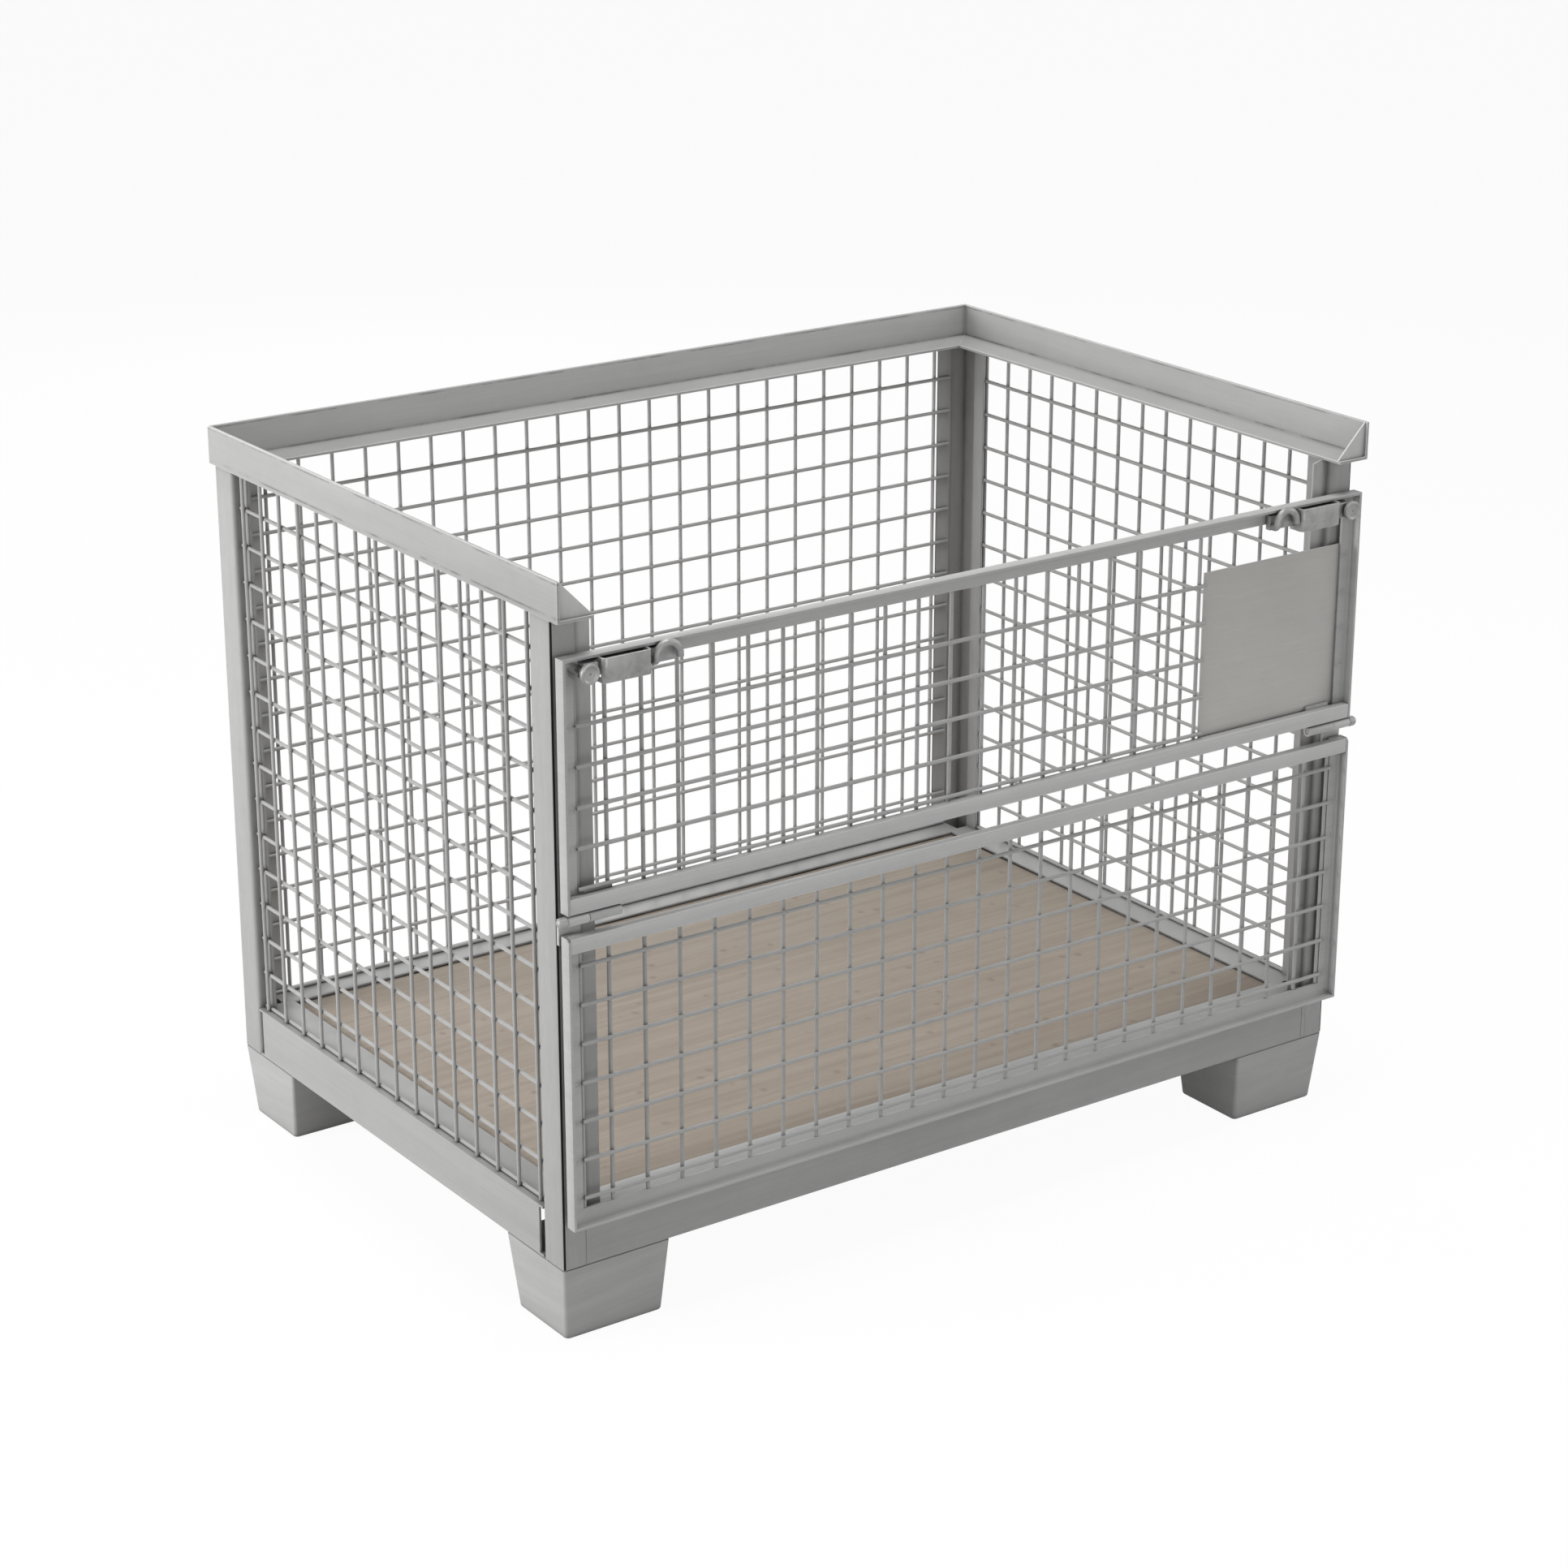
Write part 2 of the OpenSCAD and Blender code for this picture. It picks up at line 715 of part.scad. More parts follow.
// Upright frame angle, with its heel on the gate's outer edge
module gate_upright(z0, z1) {
  translate([-gate_x, gate_back, z0])
    mirror([0, 1, 0])
      linear_extrude(z1 - z0)
        polygon(gate_section);
}

module upper_gate_side_angle(sx) {
  color(paint)
    on_side(sx)
      difference() {
        intersection() {
          gate_upright(upper_z, upper_top);
          along_y(gate_front - eps, gate_back + eps)
            polygon([[-gate_x, upper_z], [-gate_open, upper_z], [-gate_open, upper_top - angle_w],
                     [-gate_x, upper_top]]);
        }
        stud_hole(left);
        box(-tube_x, tube_x, gate_front, gate_face, upper_z - eps, upper_z + tube_h);
      }
}

module lower_gate_side_angle(sx) {
  color(paint)
    on_side(sx)
      difference() {
        intersection() {
          gate_upright(lower_z, lower_top);
          along_y(gate_front - eps, gate_back + eps)
            polygon([[-gate_x, lower_z], [-gate_open, lower_z + angle_w], [-gate_open, lower_top],
                     [-gate_x, lower_top]]);
        }
        box(-tube_x, tube_x, gate_front, gate_face, lower_top - tube_h, lower_top + eps);
        along_x(-gate_x - eps, -tube_x + eps)
          polygon([[gate_front - eps, lower_top - end_chamfer - eps],
                   [gate_front + end_chamfer + eps, lower_top + eps], [gate_front - eps, lower_top + eps]]);
      }
}

module lower_gate_bottom_angle() {
  color(paint)
    difference() {
      union() {
        intersection() {
          translate([0, gate_back, lower_z])
            along_x(-gate_x, gate_x)
              polygon(turned_up(gate_section));
          along_y(gate_front - eps, gate_back + eps)
            polygon([[-gate_x, lower_z], [-gate_open, lower_z + angle_w], [gate_open, lower_z + angle_w],
                     [gate_x, lower_z]]);
        }
        for (place = [-1:1])
          on_sill_axis(place * barrel_pitch + barrel_gap, place * barrel_pitch + barrel_gap + barrel_l,
                       barrel_d);
      }
      for (place = [-1:1]) {
        on_sill_axis(place * barrel_pitch - barrel_l - barrel_gap, place * barrel_pitch + barrel_gap,
                     barrel_d + 2 * barrel_room);
        on_sill_axis(place * barrel_pitch, place * barrel_pitch + barrel_gap + barrel_l + eps,
                     barrel_pin + 2 * pin_clear);
      }
    }
}

module lower_gate_mesh() {
  edge = gate_open - wire_d / 2;
  mesh(concat([-edge], on_pitch(0, -edge + wire_d, edge - wire_d), [edge]), lower_z + angle_w,
       lower_top - tube_h + tube_weld, gate_face + wire_d / 2,
       on_pitch(lower_z + angle_w + lower_start, lower_z + angle_w + lower_start,
                lower_top - tube_h - wire_d / 2),
       -gate_open, gate_open, gate_face + wire_d / 2 - wire_step);
}

module upper_gate_mesh() {
  first = upper_z + tube_h + upper_start;
  difference() {
    mesh(on_pitch(0, -gate_open + wire_d, plate_x - wire_d / 2), upper_z + tube_h - tube_weld,
         upper_top - angle_w, gate_face + wire_d / 2,
         on_pitch(first, first, guide_top - guide_h - wire_d / 2),
         -gate_open, plate_x, gate_face + wire_d / 2 - wire_step);
    box(-leaf_x1, -leaf_x0, gate_face, gate_back + wire_d, hinge_z, upper_z + tube_h + leaf_rise);
  }
}

module name_plate() {
  z0 = upper_z + plate_foot;
  color(paint)
    union() {
      box(plate_x, gate_open + plate_lap, gate_back, gate_back + plate_t, z0, plate_top);
      box(plate_x, leaf_x0 - eps, gate_face, gate_back + plate_t, z0, z0 + plate_t);
    }
}

module latch_guide(sx) {
  middle = [[-guide_x1 + guide_t / 2, gate_face], [-guide_x1 + guide_t / 2, guide_y + guide_t / 2],
            [-guide_x0 - guide_t / 2, guide_y + guide_t / 2], [-guide_x0 - guide_t / 2, gate_face]];
  color(bright)
    on_side(sx)
      difference() {
        translate([0, 0, guide_top - guide_h])
          linear_extrude(guide_h)
            polygon(sheet_outline(middle, [guide_bend, guide_bend], guide_t));
        box(-guide_x0 - guide_t - eps, -guide_x0 + eps, bar_front - bar_gap, gate_face + eps,
            stud_z - bar_h / 2 - bar_gap, stud_z + bar_h / 2 + bar_gap);
        box(-guide_x1 - eps, -guide_x1 + guide_t + eps, bar_front - block_t - bar_gap, gate_face + eps,
            stud_z - bar_h / 2 - bar_gap, stud_z + bar_h / 2 + bar_gap);
        // The corners that would meet the root of the top angle's fold are clipped
        along_x(-guide_x1 - eps, -guide_x0 + eps)
          polygon([[gate_face - angle_r, guide_top + eps], [gate_face - angle_r, guide_top],
                   [gate_face, guide_top - angle_r], [gate_face + eps, guide_top - angle_r],
                   [gate_face + eps, guide_top + eps]]);
      }
}

module latch_bolt(sx) {
  slot_r = shank_d / 2 + fork_gap;
  color(bright)
    on_side(sx)
      difference() {
        union() {
          box(-bar_end, -gate_x + bar_reach, bar_front, bar_back, stud_z - bar_h / 2, stud_z + bar_h / 2);
          box(-bar_end, -bar_end + block_l, bar_front - block_t, bar_front, stud_z - bar_h / 2,
              stud_z + bar_h / 2);
        }
        translate([-stud_x, bar_back + eps, stud_z])
          rotate([90, 0, 0])
            cylinder(r = slot_r, h = bar_t + block_t + 2 * eps, $fn = 48);
        box(-bar_end - eps, -stud_x, bar_front - block_t - eps, bar_back + eps, stud_z - slot_r, stud_z + slot_r);
      }
}

module latch_hook(sx) {
  x = sx * (gate_x - hook_in) + hook_shift;
  color(bright)
    translate([x, hook_y, hook_arch_z])
      union() {
        rotate([90, 0, 0])
          rotate_extrude(angle = 180, $fn = 64)
            translate([hook_r, 0])
              circle(d = hook_d, $fn = 32);
        translate([hook_r, 0, -hook_tip])
          cylinder(d = hook_d, h = hook_tip, $fn = 32);
        translate([-hook_r, elbow_r, 0])
          rotate([90, 0, 90])
            rotate(180)
              rotate_extrude(angle = 90, $fn = 64)
                translate([elbow_r, 0])
                  circle(d = hook_d, $fn = 32);
        translate([-hook_r, elbow_r, -elbow_r])
          rotate([-90, 0, 0])
            cylinder(d = hook_d, h = bar_front - hook_y - elbow_r, $fn = 32);
      }
}

post(left, front);  // front_left_post
post(right, front);  // front_right_post
post(left, back);  // rear_left_post
post(right, back);  // rear_right_post
foot(left, front);  // front_left_foot
foot(right, front);  // front_right_foot
foot(left, back);  // rear_left_foot
foot(right, back);  // rear_right_foot
base_rail_long(front);  // base_rail_front
base_rail_long(back);  // base_rail_back
base_rail_side(left);  // base_rail_left
base_rail_side(right);  // base_rail_right
floor_bearer(-1);  // floor_bearer_left
floor_bearer(0);  // floor_bearer_middle
floor_bearer(1);  // floor_bearer_right
floor_board();
top_rail_side(left);  // top_rail_left
top_rail_side(right);  // top_rail_right
top_rail_back();
rail_gusset(left);  // rail_gusset_left
rail_gusset(right);  // rail_gusset_right
side_mesh(left);  // side_mesh_left
side_mesh(right);  // side_mesh_right
back_mesh();
latch_stud(left);  // latch_stud_left
latch_stud(right);  // latch_stud_right
post_hinge_leaf(left);  // post_hinge_leaf_left
post_hinge_leaf(right);  // post_hinge_leaf_right
hinge_pin(left);  // hinge_pin_left
hinge_pin(right);  // hinge_pin_right
sill_barrel(-1);  // sill_barrel_left
sill_barrel(0);  // sill_barrel_middle
sill_barrel(1);  // sill_barrel_right
sill_pin(-1);  // sill_pin_left
sill_pin(0);  // sill_pin_middle
sill_pin(1);  // sill_pin_right
upper_gate_top_angle();
upper_gate_side_angle(left);  // upper_gate_left_angle
upper_gate_side_angle(right);  // upper_gate_right_angle
gate_cross_tube(upper_z);  // upper_gate_tube
upper_gate_mesh();
name_plate();
gate_hinge_leaf(left);  // gate_hinge_leaf_left
gate_hinge_leaf(right);  // gate_hinge_leaf_right
latch_guide(left);  // latch_guide_left
latch_guide(right);  // latch_guide_right
gate_cross_tube(lower_top - tube_h);  // lower_gate_tube
lower_gate_side_angle(left);  // lower_gate_left_angle
lower_gate_side_angle(right);  // lower_gate_right_angle
lower_gate_bottom_angle();
lower_gate_mesh();
latch_bolt(left);  // latch_bolt_left
latch_bolt(right);  // latch_bolt_right
latch_hook(left);  // latch_hook_left
latch_hook(right);  // latch_hook_right
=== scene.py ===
"""Looks of a steel mesh cage: painted frame, round mesh wires, pressed feet, fittings and floor board.

Every length is in metres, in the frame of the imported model: X along the front, -Y forward, Z up.
"""
import math

import bpy
import numpy as np
from mathutils import Matrix, Vector


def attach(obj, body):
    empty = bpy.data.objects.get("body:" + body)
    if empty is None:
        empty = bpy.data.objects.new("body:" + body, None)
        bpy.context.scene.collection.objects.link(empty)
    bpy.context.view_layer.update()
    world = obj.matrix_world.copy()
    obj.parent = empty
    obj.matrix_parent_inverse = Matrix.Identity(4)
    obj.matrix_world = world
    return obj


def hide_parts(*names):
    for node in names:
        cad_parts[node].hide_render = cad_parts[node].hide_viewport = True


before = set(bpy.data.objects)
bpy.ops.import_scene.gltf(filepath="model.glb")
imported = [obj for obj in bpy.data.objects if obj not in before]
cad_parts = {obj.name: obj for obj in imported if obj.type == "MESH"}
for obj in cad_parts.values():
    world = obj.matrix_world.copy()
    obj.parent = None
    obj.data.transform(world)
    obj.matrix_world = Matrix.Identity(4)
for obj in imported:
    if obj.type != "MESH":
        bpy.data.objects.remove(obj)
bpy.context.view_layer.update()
scene = bpy.context.scene

# Node helpers


def node(tree, kind, inputs=None, **settings):
    """New node with its settings. Each input, by name or number, takes a value or a node's output."""
    n = tree.nodes.new(kind)
    for key, value in settings.items():
        setattr(n, key, value)
    for key, value in (inputs or {}).items():
        if isinstance(value, bpy.types.NodeSocket):
            tree.links.new(value, n.inputs[key])
        else:
            n.inputs[key].default_value = value
    return n


def math_of(tree, operation, *values):
    """Result of a Math node, each value an output or a number."""
    return node(tree, "ShaderNodeMath", dict(enumerate(values)), operation=operation).outputs[0]


def span(tree, value, low, high, to_low=0.0, to_high=1.0):
    """Value mapped from one range to another, clamped."""
    return node(tree, "ShaderNodeMapRange",
                {"Value": value, "From Min": low, "From Max": high, "To Min": to_low,
                 "To Max": to_high}).outputs[0]


def noise(tree, place, scale, detail, roughness=0.5, distortion=0.0):
    """Noise at a place, near 0.5."""
    return node(tree, "ShaderNodeTexNoise",
                {"Vector": place, "Scale": scale, "Detail": detail, "Roughness": roughness,
                 "Distortion": distortion}).outputs[0]


def new_group(name, inputs, outputs):
    """Shader node group with its inputs (kind, name, value) and outputs (names of values). Gives the
    group, the sockets that bring its inputs and those that take its outputs."""
    g = bpy.data.node_groups.new(name, "ShaderNodeTree")
    for kind, label, value in inputs:
        s = g.interface.new_socket(label, in_out="INPUT", socket_type="NodeSocket" + kind)
        if value is not None:
            s.default_value = value
    for label in outputs:
        g.interface.new_socket(label, in_out="OUTPUT", socket_type="NodeSocketFloat")
    return g, g.nodes.new("NodeGroupInput").outputs, g.nodes.new("NodeGroupOutput").inputs


def new_material(name):
    """Material with a Principled shader. Gives it, its tree, the shader's inputs and the place on the
    piece."""
    mat = bpy.data.materials.new(name)
    mat.use_nodes = True
    tree = mat.node_tree
    place = node(tree, "ShaderNodeTexCoord").outputs["Object"]
    return mat, tree, tree.nodes["Principled BSDF"].inputs, place


def seen_directly(tree):
    """1 for rays from the camera and off gloss, else 0."""
    path = node(tree, "ShaderNodeLightPath").outputs
    return math_of(tree, "MAXIMUM", path["Is Camera Ray"], path["Is Glossy Ray"])


# Camera, light and floor

# Picture side and focal length in pixels, film width in millimetres
IMAGE = 1932
FOCAL_PX = 4530.73
SENSOR = 36
CAMERA_AT = np.array([-2.67573, -3.78723, 2.16357])
CAMERA_TO = np.array([-0.00265, 0.0, 0.47183])
CAMERA_ROLL = -0.00009

WHITE = (1, 1, 1, 1)
WORLD_TINT = (0.97, 0.985, 1, 1)
WORLD = 0.08
LAMP_AIM = (0, 0, 0.45)
# Each lamp's place, size and power
LAMPS = {
    "key_left": ((-3.9, 1.4, 1.5), 1.6, 82),
    "low_left": ((-4.0, -0.3, 0.9), 1.6, 27),
    "top_soft": ((0.0, -0.4, 4.6), 2.2, 93),
    "low_front": ((-0.6, -4.6, 0.9), 2.2, 39),
    "fill_right": ((3.6, -2.4, 2.0), 2.2, 25),
    "back_left": ((-2.4, 3.8, 2.4), 2.2, 20),
    "fill_back": ((1.8, 4.4, 2.0), 2.4, 26),
}
FLOOR_REACH = 14.0
FLOOR_GREY = (0.55, 0.55, 0.55, 1)
FLOOR_GLOW = 1.08
FLOOR_GLOW_SHARE = 0.88


def place_camera():
    """Camera at the photograph's viewpoint: axes from the line of sight, then rolled about it."""
    ahead = CAMERA_TO - CAMERA_AT
    ahead /= np.linalg.norm(ahead)
    right = np.cross(ahead, [0, 0, 1])
    right /= np.linalg.norm(right)
    down = np.cross(ahead, right)
    c, s = math.cos(CAMERA_ROLL), math.sin(CAMERA_ROLL)
    right, down = c * right - s * down, s * right + c * down
    data = bpy.data.cameras.new("camera")
    data.sensor_width = SENSOR
    data.lens = SENSOR * FOCAL_PX / IMAGE
    data.clip_start, data.clip_end = 0.1, 60
    camera = bpy.data.objects.new("camera", data)
    m = np.eye(4)
    m[:3, 0], m[:3, 1], m[:3, 2], m[:3, 3] = right, -down, -ahead, CAMERA_AT
    camera.matrix_world = Matrix(m.tolist())
    scene.collection.objects.link(camera)
    scene.camera = camera


def area_light(name, at, size, power):
    """Large soft lamp that faces the cage."""
    data = bpy.data.lights.new(name, "AREA")
    data.shape = "DISK"
    data.size = size
    data.energy = power
    lamp = bpy.data.objects.new(name, data)
    lamp.location = at
    lamp.rotation_euler = (Vector(LAMP_AIM) - Vector(at)).to_track_quat("-Z", "Y").to_euler()
    scene.collection.objects.link(lamp)


def light_stage():
    """Even world light that shows white to the camera and to gloss, and the soft lamps."""
    world = bpy.data.worlds.new("studio")
    scene.world = world
    world.use_nodes = True
    t = world.node_tree
    t.nodes.clear()
    soft = node(t, "ShaderNodeBackground", {"Color": WORLD_TINT, "Strength": WORLD})
    white = node(t, "ShaderNodeBackground", {"Color": WHITE, "Strength": 1.0})
    mix = node(t, "ShaderNodeMixShader",
               {0: seen_directly(t), 1: soft.outputs[0], 2: white.outputs[0]})
    node(t, "ShaderNodeOutputWorld", {0: mix.outputs[0]})
    for name, (at, size, power) in LAMPS.items():
        area_light(name, at, size, power)


def lay_floor():
    """Pale floor that looks white to the camera and keeps a soft shadow."""
    mesh = bpy.data.meshes.new("floor")
    r = FLOOR_REACH
    mesh.from_pydata([(-r, -r, 0), (r, -r, 0), (r, r, 0), (-r, r, 0)], [], [(0, 1, 2, 3)])
    floor = bpy.data.objects.new("floor", mesh)
    scene.collection.objects.link(floor)
    mat = bpy.data.materials.new("floor")
    mat.use_nodes = True
    t = mat.node_tree
    t.nodes.clear()
    share = math_of(t, "MULTIPLY", seen_directly(t), FLOOR_GLOW_SHARE)
    matt = node(t, "ShaderNodeBsdfDiffuse", {"Color": FLOOR_GREY})
    glow = node(t, "ShaderNodeEmission", {"Color": WHITE, "Strength": FLOOR_GLOW})
    mix = node(t, "ShaderNodeMixShader", {0: share, 1: matt.outputs[0], 2: glow.outputs[0]})
    node(t, "ShaderNodeOutputMaterial", {0: mix.outputs[0]})
    mesh.materials.append(mat)


# Shared effects


def group_cloud():
    """Slow change of tone: broad noise with a finer one on top, 0 to 1 round a mean of 0.5."""
    g, given, result = new_group("cloudy tone", [("Vector", "Vector", None), ("Float", "Scale", 6.0),
                                                 ("Float", "Fine", 0.35)], ["Mask"])
    broad = noise(g, given["Vector"], given["Scale"], 3.0, 0.55, 0.3)
    fine = noise(g, given["Vector"], math_of(g, "MULTIPLY", given["Scale"], 8.0), 4.0, 0.6)
    mix = node(g, "ShaderNodeMix", {0: given["Fine"], 2: broad, 3: fine}, data_type="FLOAT")
    g.links.new(span(g, mix.outputs[0], 0.3, 0.7), result["Mask"])
    return g


def group_streaks():
    """Long soft marks and finer hair lines: noise on the place, turned and then stretched per axis."""
    g, given, result = new_group("rolled streaks",
                                 [("Vector", "Vector", None), ("Vector", "Stretch", (3, 3, 60)),
                                  ("Float", "Turn", 0.0)], ["Mask", "Hair"])
    turned = node(g, "ShaderNodeVectorRotate", {"Vector": given["Vector"], "Angle": given["Turn"],
                                                "Axis": (0.7, 0.7, 0)}, rotation_type="AXIS_ANGLE")
    drawn = node(g, "ShaderNodeVectorMath", {0: turned.outputs[0], 1: given["Stretch"]},
                 operation="MULTIPLY")
    finer = node(g, "ShaderNodeVectorMath", {0: drawn.outputs[0], 1: (2.5, 2.5, 14.0)},
                 operation="MULTIPLY")
    soft = noise(g, drawn.outputs[0], 1.0, 4.0, 0.6, 0.5)
    hair = noise(g, finer.outputs[0], 1.0, 3.0, 0.65)
    g.links.new(span(g, soft, 0.3, 0.7), result["Mask"])
    g.links.new(span(g, hair, 0.3, 0.7), result["Hair"])
    return g


def group_specks():
    """Sparse small marks: cells whose random value passes a limit, shrunk by the distance to their
    point."""
    g, given, result = new_group("small specks", [("Vector", "Vector", None), ("Float", "Scale", 90.0),
                                                  ("Float", "Share", 0.1)], ["Mask"])
    bend = node(g, "ShaderNodeTexNoise", {"Vector": given["Vector"], "Scale": 40.0, "Detail": 2.0})
    push = node(g, "ShaderNodeVectorMath", {0: bend.outputs["Color"], 1: (0.01, 0.01, 0.01),
                                            2: given["Vector"]}, operation="MULTIPLY_ADD")
    cells = node(g, "ShaderNodeTexVoronoi", {"Vector": push.outputs[0], "Scale": given["Scale"],
                                             "Randomness": 1.0})
    chance = node(g, "ShaderNodeSeparateColor", {0: cells.outputs["Color"]})
    picked = math_of(g, "LESS_THAN", chance.outputs[0], given["Share"])
    spot = span(g, cells.outputs["Distance"], 0.12, 0.34, 1.0, 0.0)
    g.links.new(math_of(g, "MULTIPLY", picked, spot), result["Mask"])
    return g


def group_corners():
    """Masks of closeness: grime and painted shade where faces or pieces meet, broken up by noise, and a
    wider soft painted shade, each from how much of its reach round the surface is covered."""
    g, given, result = new_group("grime and shade",
                                 [("Vector", "Vector", None), ("Float", "Reach", 0.009)],
                                 ["Grime", "Shade"])
    close = node(g, "ShaderNodeAmbientOcclusion", {"Distance": given["Reach"]}, samples=4)
    wide = node(g, "ShaderNodeAmbientOcclusion", {"Distance": 0.034}, samples=3)
    uneven = noise(g, given["Vector"], 55.0, 3.0, 0.6)
    # Grime and painted shade: darker where the close reach round the surface is covered
    grime_and_shade = math_of(g, "MULTIPLY", span(g, close.outputs["AO"], 0.88, 0.34),
                    span(g, uneven, 0.3, 0.6, 1.0, 0.82))
    g.links.new(grime_and_shade, result["Grime"])
    # Painted shade: darker where the wide reach round the surface is covered
    g.links.new(span(g, wide.outputs["AO"], 0.8, 0.25), result["Shade"])
    return g


GROUPS = {"cloud": group_cloud(), "streaks": group_streaks(), "specks": group_specks(),
          "corners": group_corners()}


def effect(tree, name, place, **values):
    """Outputs of a shared effect, placed in a material with its own values."""
    return node(tree, "ShaderNodeGroup", {"Vector": place, **values}, node_tree=GROUPS[name]).outputs


# Tones and masks


def shade(colour, k):
    """Colour made darker or brighter by a factor."""
    return tuple(min(1.0, c * k) for c in colour)


def tone_mix(tree, mask, low, high):
    """Colour between two tones by a mask."""
    return node(tree, "ShaderNodeMix", {0: mask, 6: (*low, 1), 7: (*high, 1)},
                data_type="RGBA").outputs[2]


def over(tree, base, mask, colour, amount):
    """Colour laid over another by a mask times an amount."""
    share = math_of(tree, "MULTIPLY", mask, amount)
    return node(tree, "ShaderNodeMix", {0: share, 6: base, 7: (*colour, 1)},
                data_type="RGBA").outputs[2]


def axis_of(tree, place, axis):
    """One coordinate of the place, by its number."""
    return node(tree, "ShaderNodeSeparateXYZ", {0: place}).outputs[axis]


def from_middle(tree, place, axis):
    """Distance from the cage's middle plane across an axis."""
    return math_of(tree, "ABSOLUTE", axis_of(tree, place, axis))


def near(tree, value, middle, reach):
    """Mask that falls from 1 to 0 as the value leaves its middle by the reach."""
    off = math_of(tree, "ABSOLUTE", math_of(tree, "SUBTRACT", value, middle))
    return span(tree, off, 0.0, reach, 1.0, 0.0)


def groove_shade_mask(tree, place):
    """Painted shade in the slot down the posts' corners: a band inside the side face, near the front
    and back faces."""
    slot_x, half_width, from_y = 0.6139, 0.00125, 0.4085
    off = math_of(tree, "SUBTRACT", from_middle(tree, place, 0), slot_x)
    inside = math_of(tree, "LESS_THAN", math_of(tree, "ABSOLUTE", off), half_width)
    return math_of(tree, "MULTIPLY", inside,
                   math_of(tree, "GREATER_THAN", from_middle(tree, place, 1), from_y))


def seam_mask(tree, place):
    """The flush seam between a post's front leg and the base's web, which is filled and painted
    over."""
    seam_x, reach, base_top, from_y = 0.58, 0.03, 0.1665, 0.4
    across = near(tree, from_middle(tree, place, 0), seam_x, reach)
    low = math_of(tree, "LESS_THAN", axis_of(tree, place, 2), base_top)
    edge = math_of(tree, "GREATER_THAN", from_middle(tree, place, 1), from_y)
    band = math_of(tree, "MULTIPLY", math_of(tree, "MULTIPLY", across, 3.0),
                   math_of(tree, "MULTIPLY", low, edge))
    return math_of(tree, "MINIMUM", 1.0, band)


def rail_shade_mask(tree, place):
    """Fine broken lines of painted shade along the rails: just under the upper edge, and in the fold to
    the flat leg."""
    edge_z, edge_reach, fold_z, fold_reach = 0.9668, 0.0013, 0.9262, 0.002
    z = axis_of(tree, place, 2)
    lines = math_of(tree, "MAXIMUM", near(tree, z, edge_z, edge_reach),
                    near(tree, z, fold_z, fold_reach))
    broken = span(tree, noise(tree, place, 22.0, 3.0, 0.6), 0.42, 0.6)
    return math_of(tree, "MULTIPLY", lines, broken)


def fold_shade_mask(tree, place):
    """Soft band of painted shade down the posts' fold behind the front leg, uneven along its length."""
    fold_x, reach, from_y = 0.5785, 0.0075, 0.3985
    band = math_of(tree, "MULTIPLY", near(tree, from_middle(tree, place, 0), fold_x, reach),
                   math_of(tree, "GREATER_THAN", from_middle(tree, place, 1), from_y))
    uneven = span(tree, noise(tree, place, 7.0, 3.0), 0.35, 0.6, 0.35, 1.0)
    return math_of(tree, "MULTIPLY", band, uneven)


def weld_mask(tree, place):
    """Scorched spots on the gates' flat legs: bells round each cross wire's level, on the pitch, along
    the strip outside the opening, broken by noise. The upper gate's levels lie a little lower within
    the pitch than the lower gate's."""
    pitch, shift, upper_shift, between_gates = 0.05, 0.0035, 0.0045, 0.55
    strip_out, strip_in = 0.6075, 0.6025
    z = axis_of(tree, place, 2)
    upper = math_of(tree, "GREATER_THAN", z, between_gates)
    level = math_of(tree, "MULTIPLY_ADD", upper, upper_shift, math_of(tree, "ADD", z, shift))
    above = math_of(tree, "FLOORED_MODULO", level, pitch)
    off = math_of(tree, "MINIMUM", above, math_of(tree, "SUBTRACT", pitch, above))
    bell = span(tree, off, 0.001, 0.008, 1.0, 0.0)
    strip = span(tree, from_middle(tree, place, 0), strip_out, strip_in)
    broken = span(tree, noise(tree, place, 190.0, 3.0, 0.7), 0.38, 0.58)
    return math_of(tree, "MULTIPLY", math_of(tree, "MULTIPLY", bell, strip), broken)


def scratch_mask(tree, place):
    """Short fine scratches along X: noise drawn out along X, cut by a coarser noise into short
    lengths."""
    drawn = node(tree, "ShaderNodeVectorMath", {0: place, 1: (22.0, 22.0, 620.0)},
                 operation="MULTIPLY")
    fine = noise(tree, drawn.outputs[0], 1.0, 2.0)
    cut = noise(tree, place, 14.0, 1.0)
    return math_of(tree, "MULTIPLY", span(tree, fine, 0.6, 0.7), span(tree, cut, 0.46, 0.62))


# Materials

# Painted shade: the near black of the slot down the posts' corners
SLOT_SHADE = (0.012, 0.012, 0.012)
# Each mark's mask, its tone as a factor of the paint's or as a colour, and its amount
# The groove, rail and fold marks are painted shade; the weld and scratch marks are the steel's own
MARKS = {
    "groove": (groove_shade_mask, SLOT_SHADE, 1.0),
    "rail": (rail_shade_mask, 0.2, 0.7),
    "fold": (fold_shade_mask, 0.3, 0.55),
    "weld": (weld_mask, 0.45, 0.36),
    "scratch": (scratch_mask, 1.5, 0.2),
}


def fine_bump(tree, height, strength, distance, shader):
    """Bump from a height, on the shader's normal."""
    bump = node(tree, "ShaderNodeBump", {"Strength": strength, "Distance": distance, "Height": height})
    tree.links.new(bump.outputs[0], shader["Normal"])


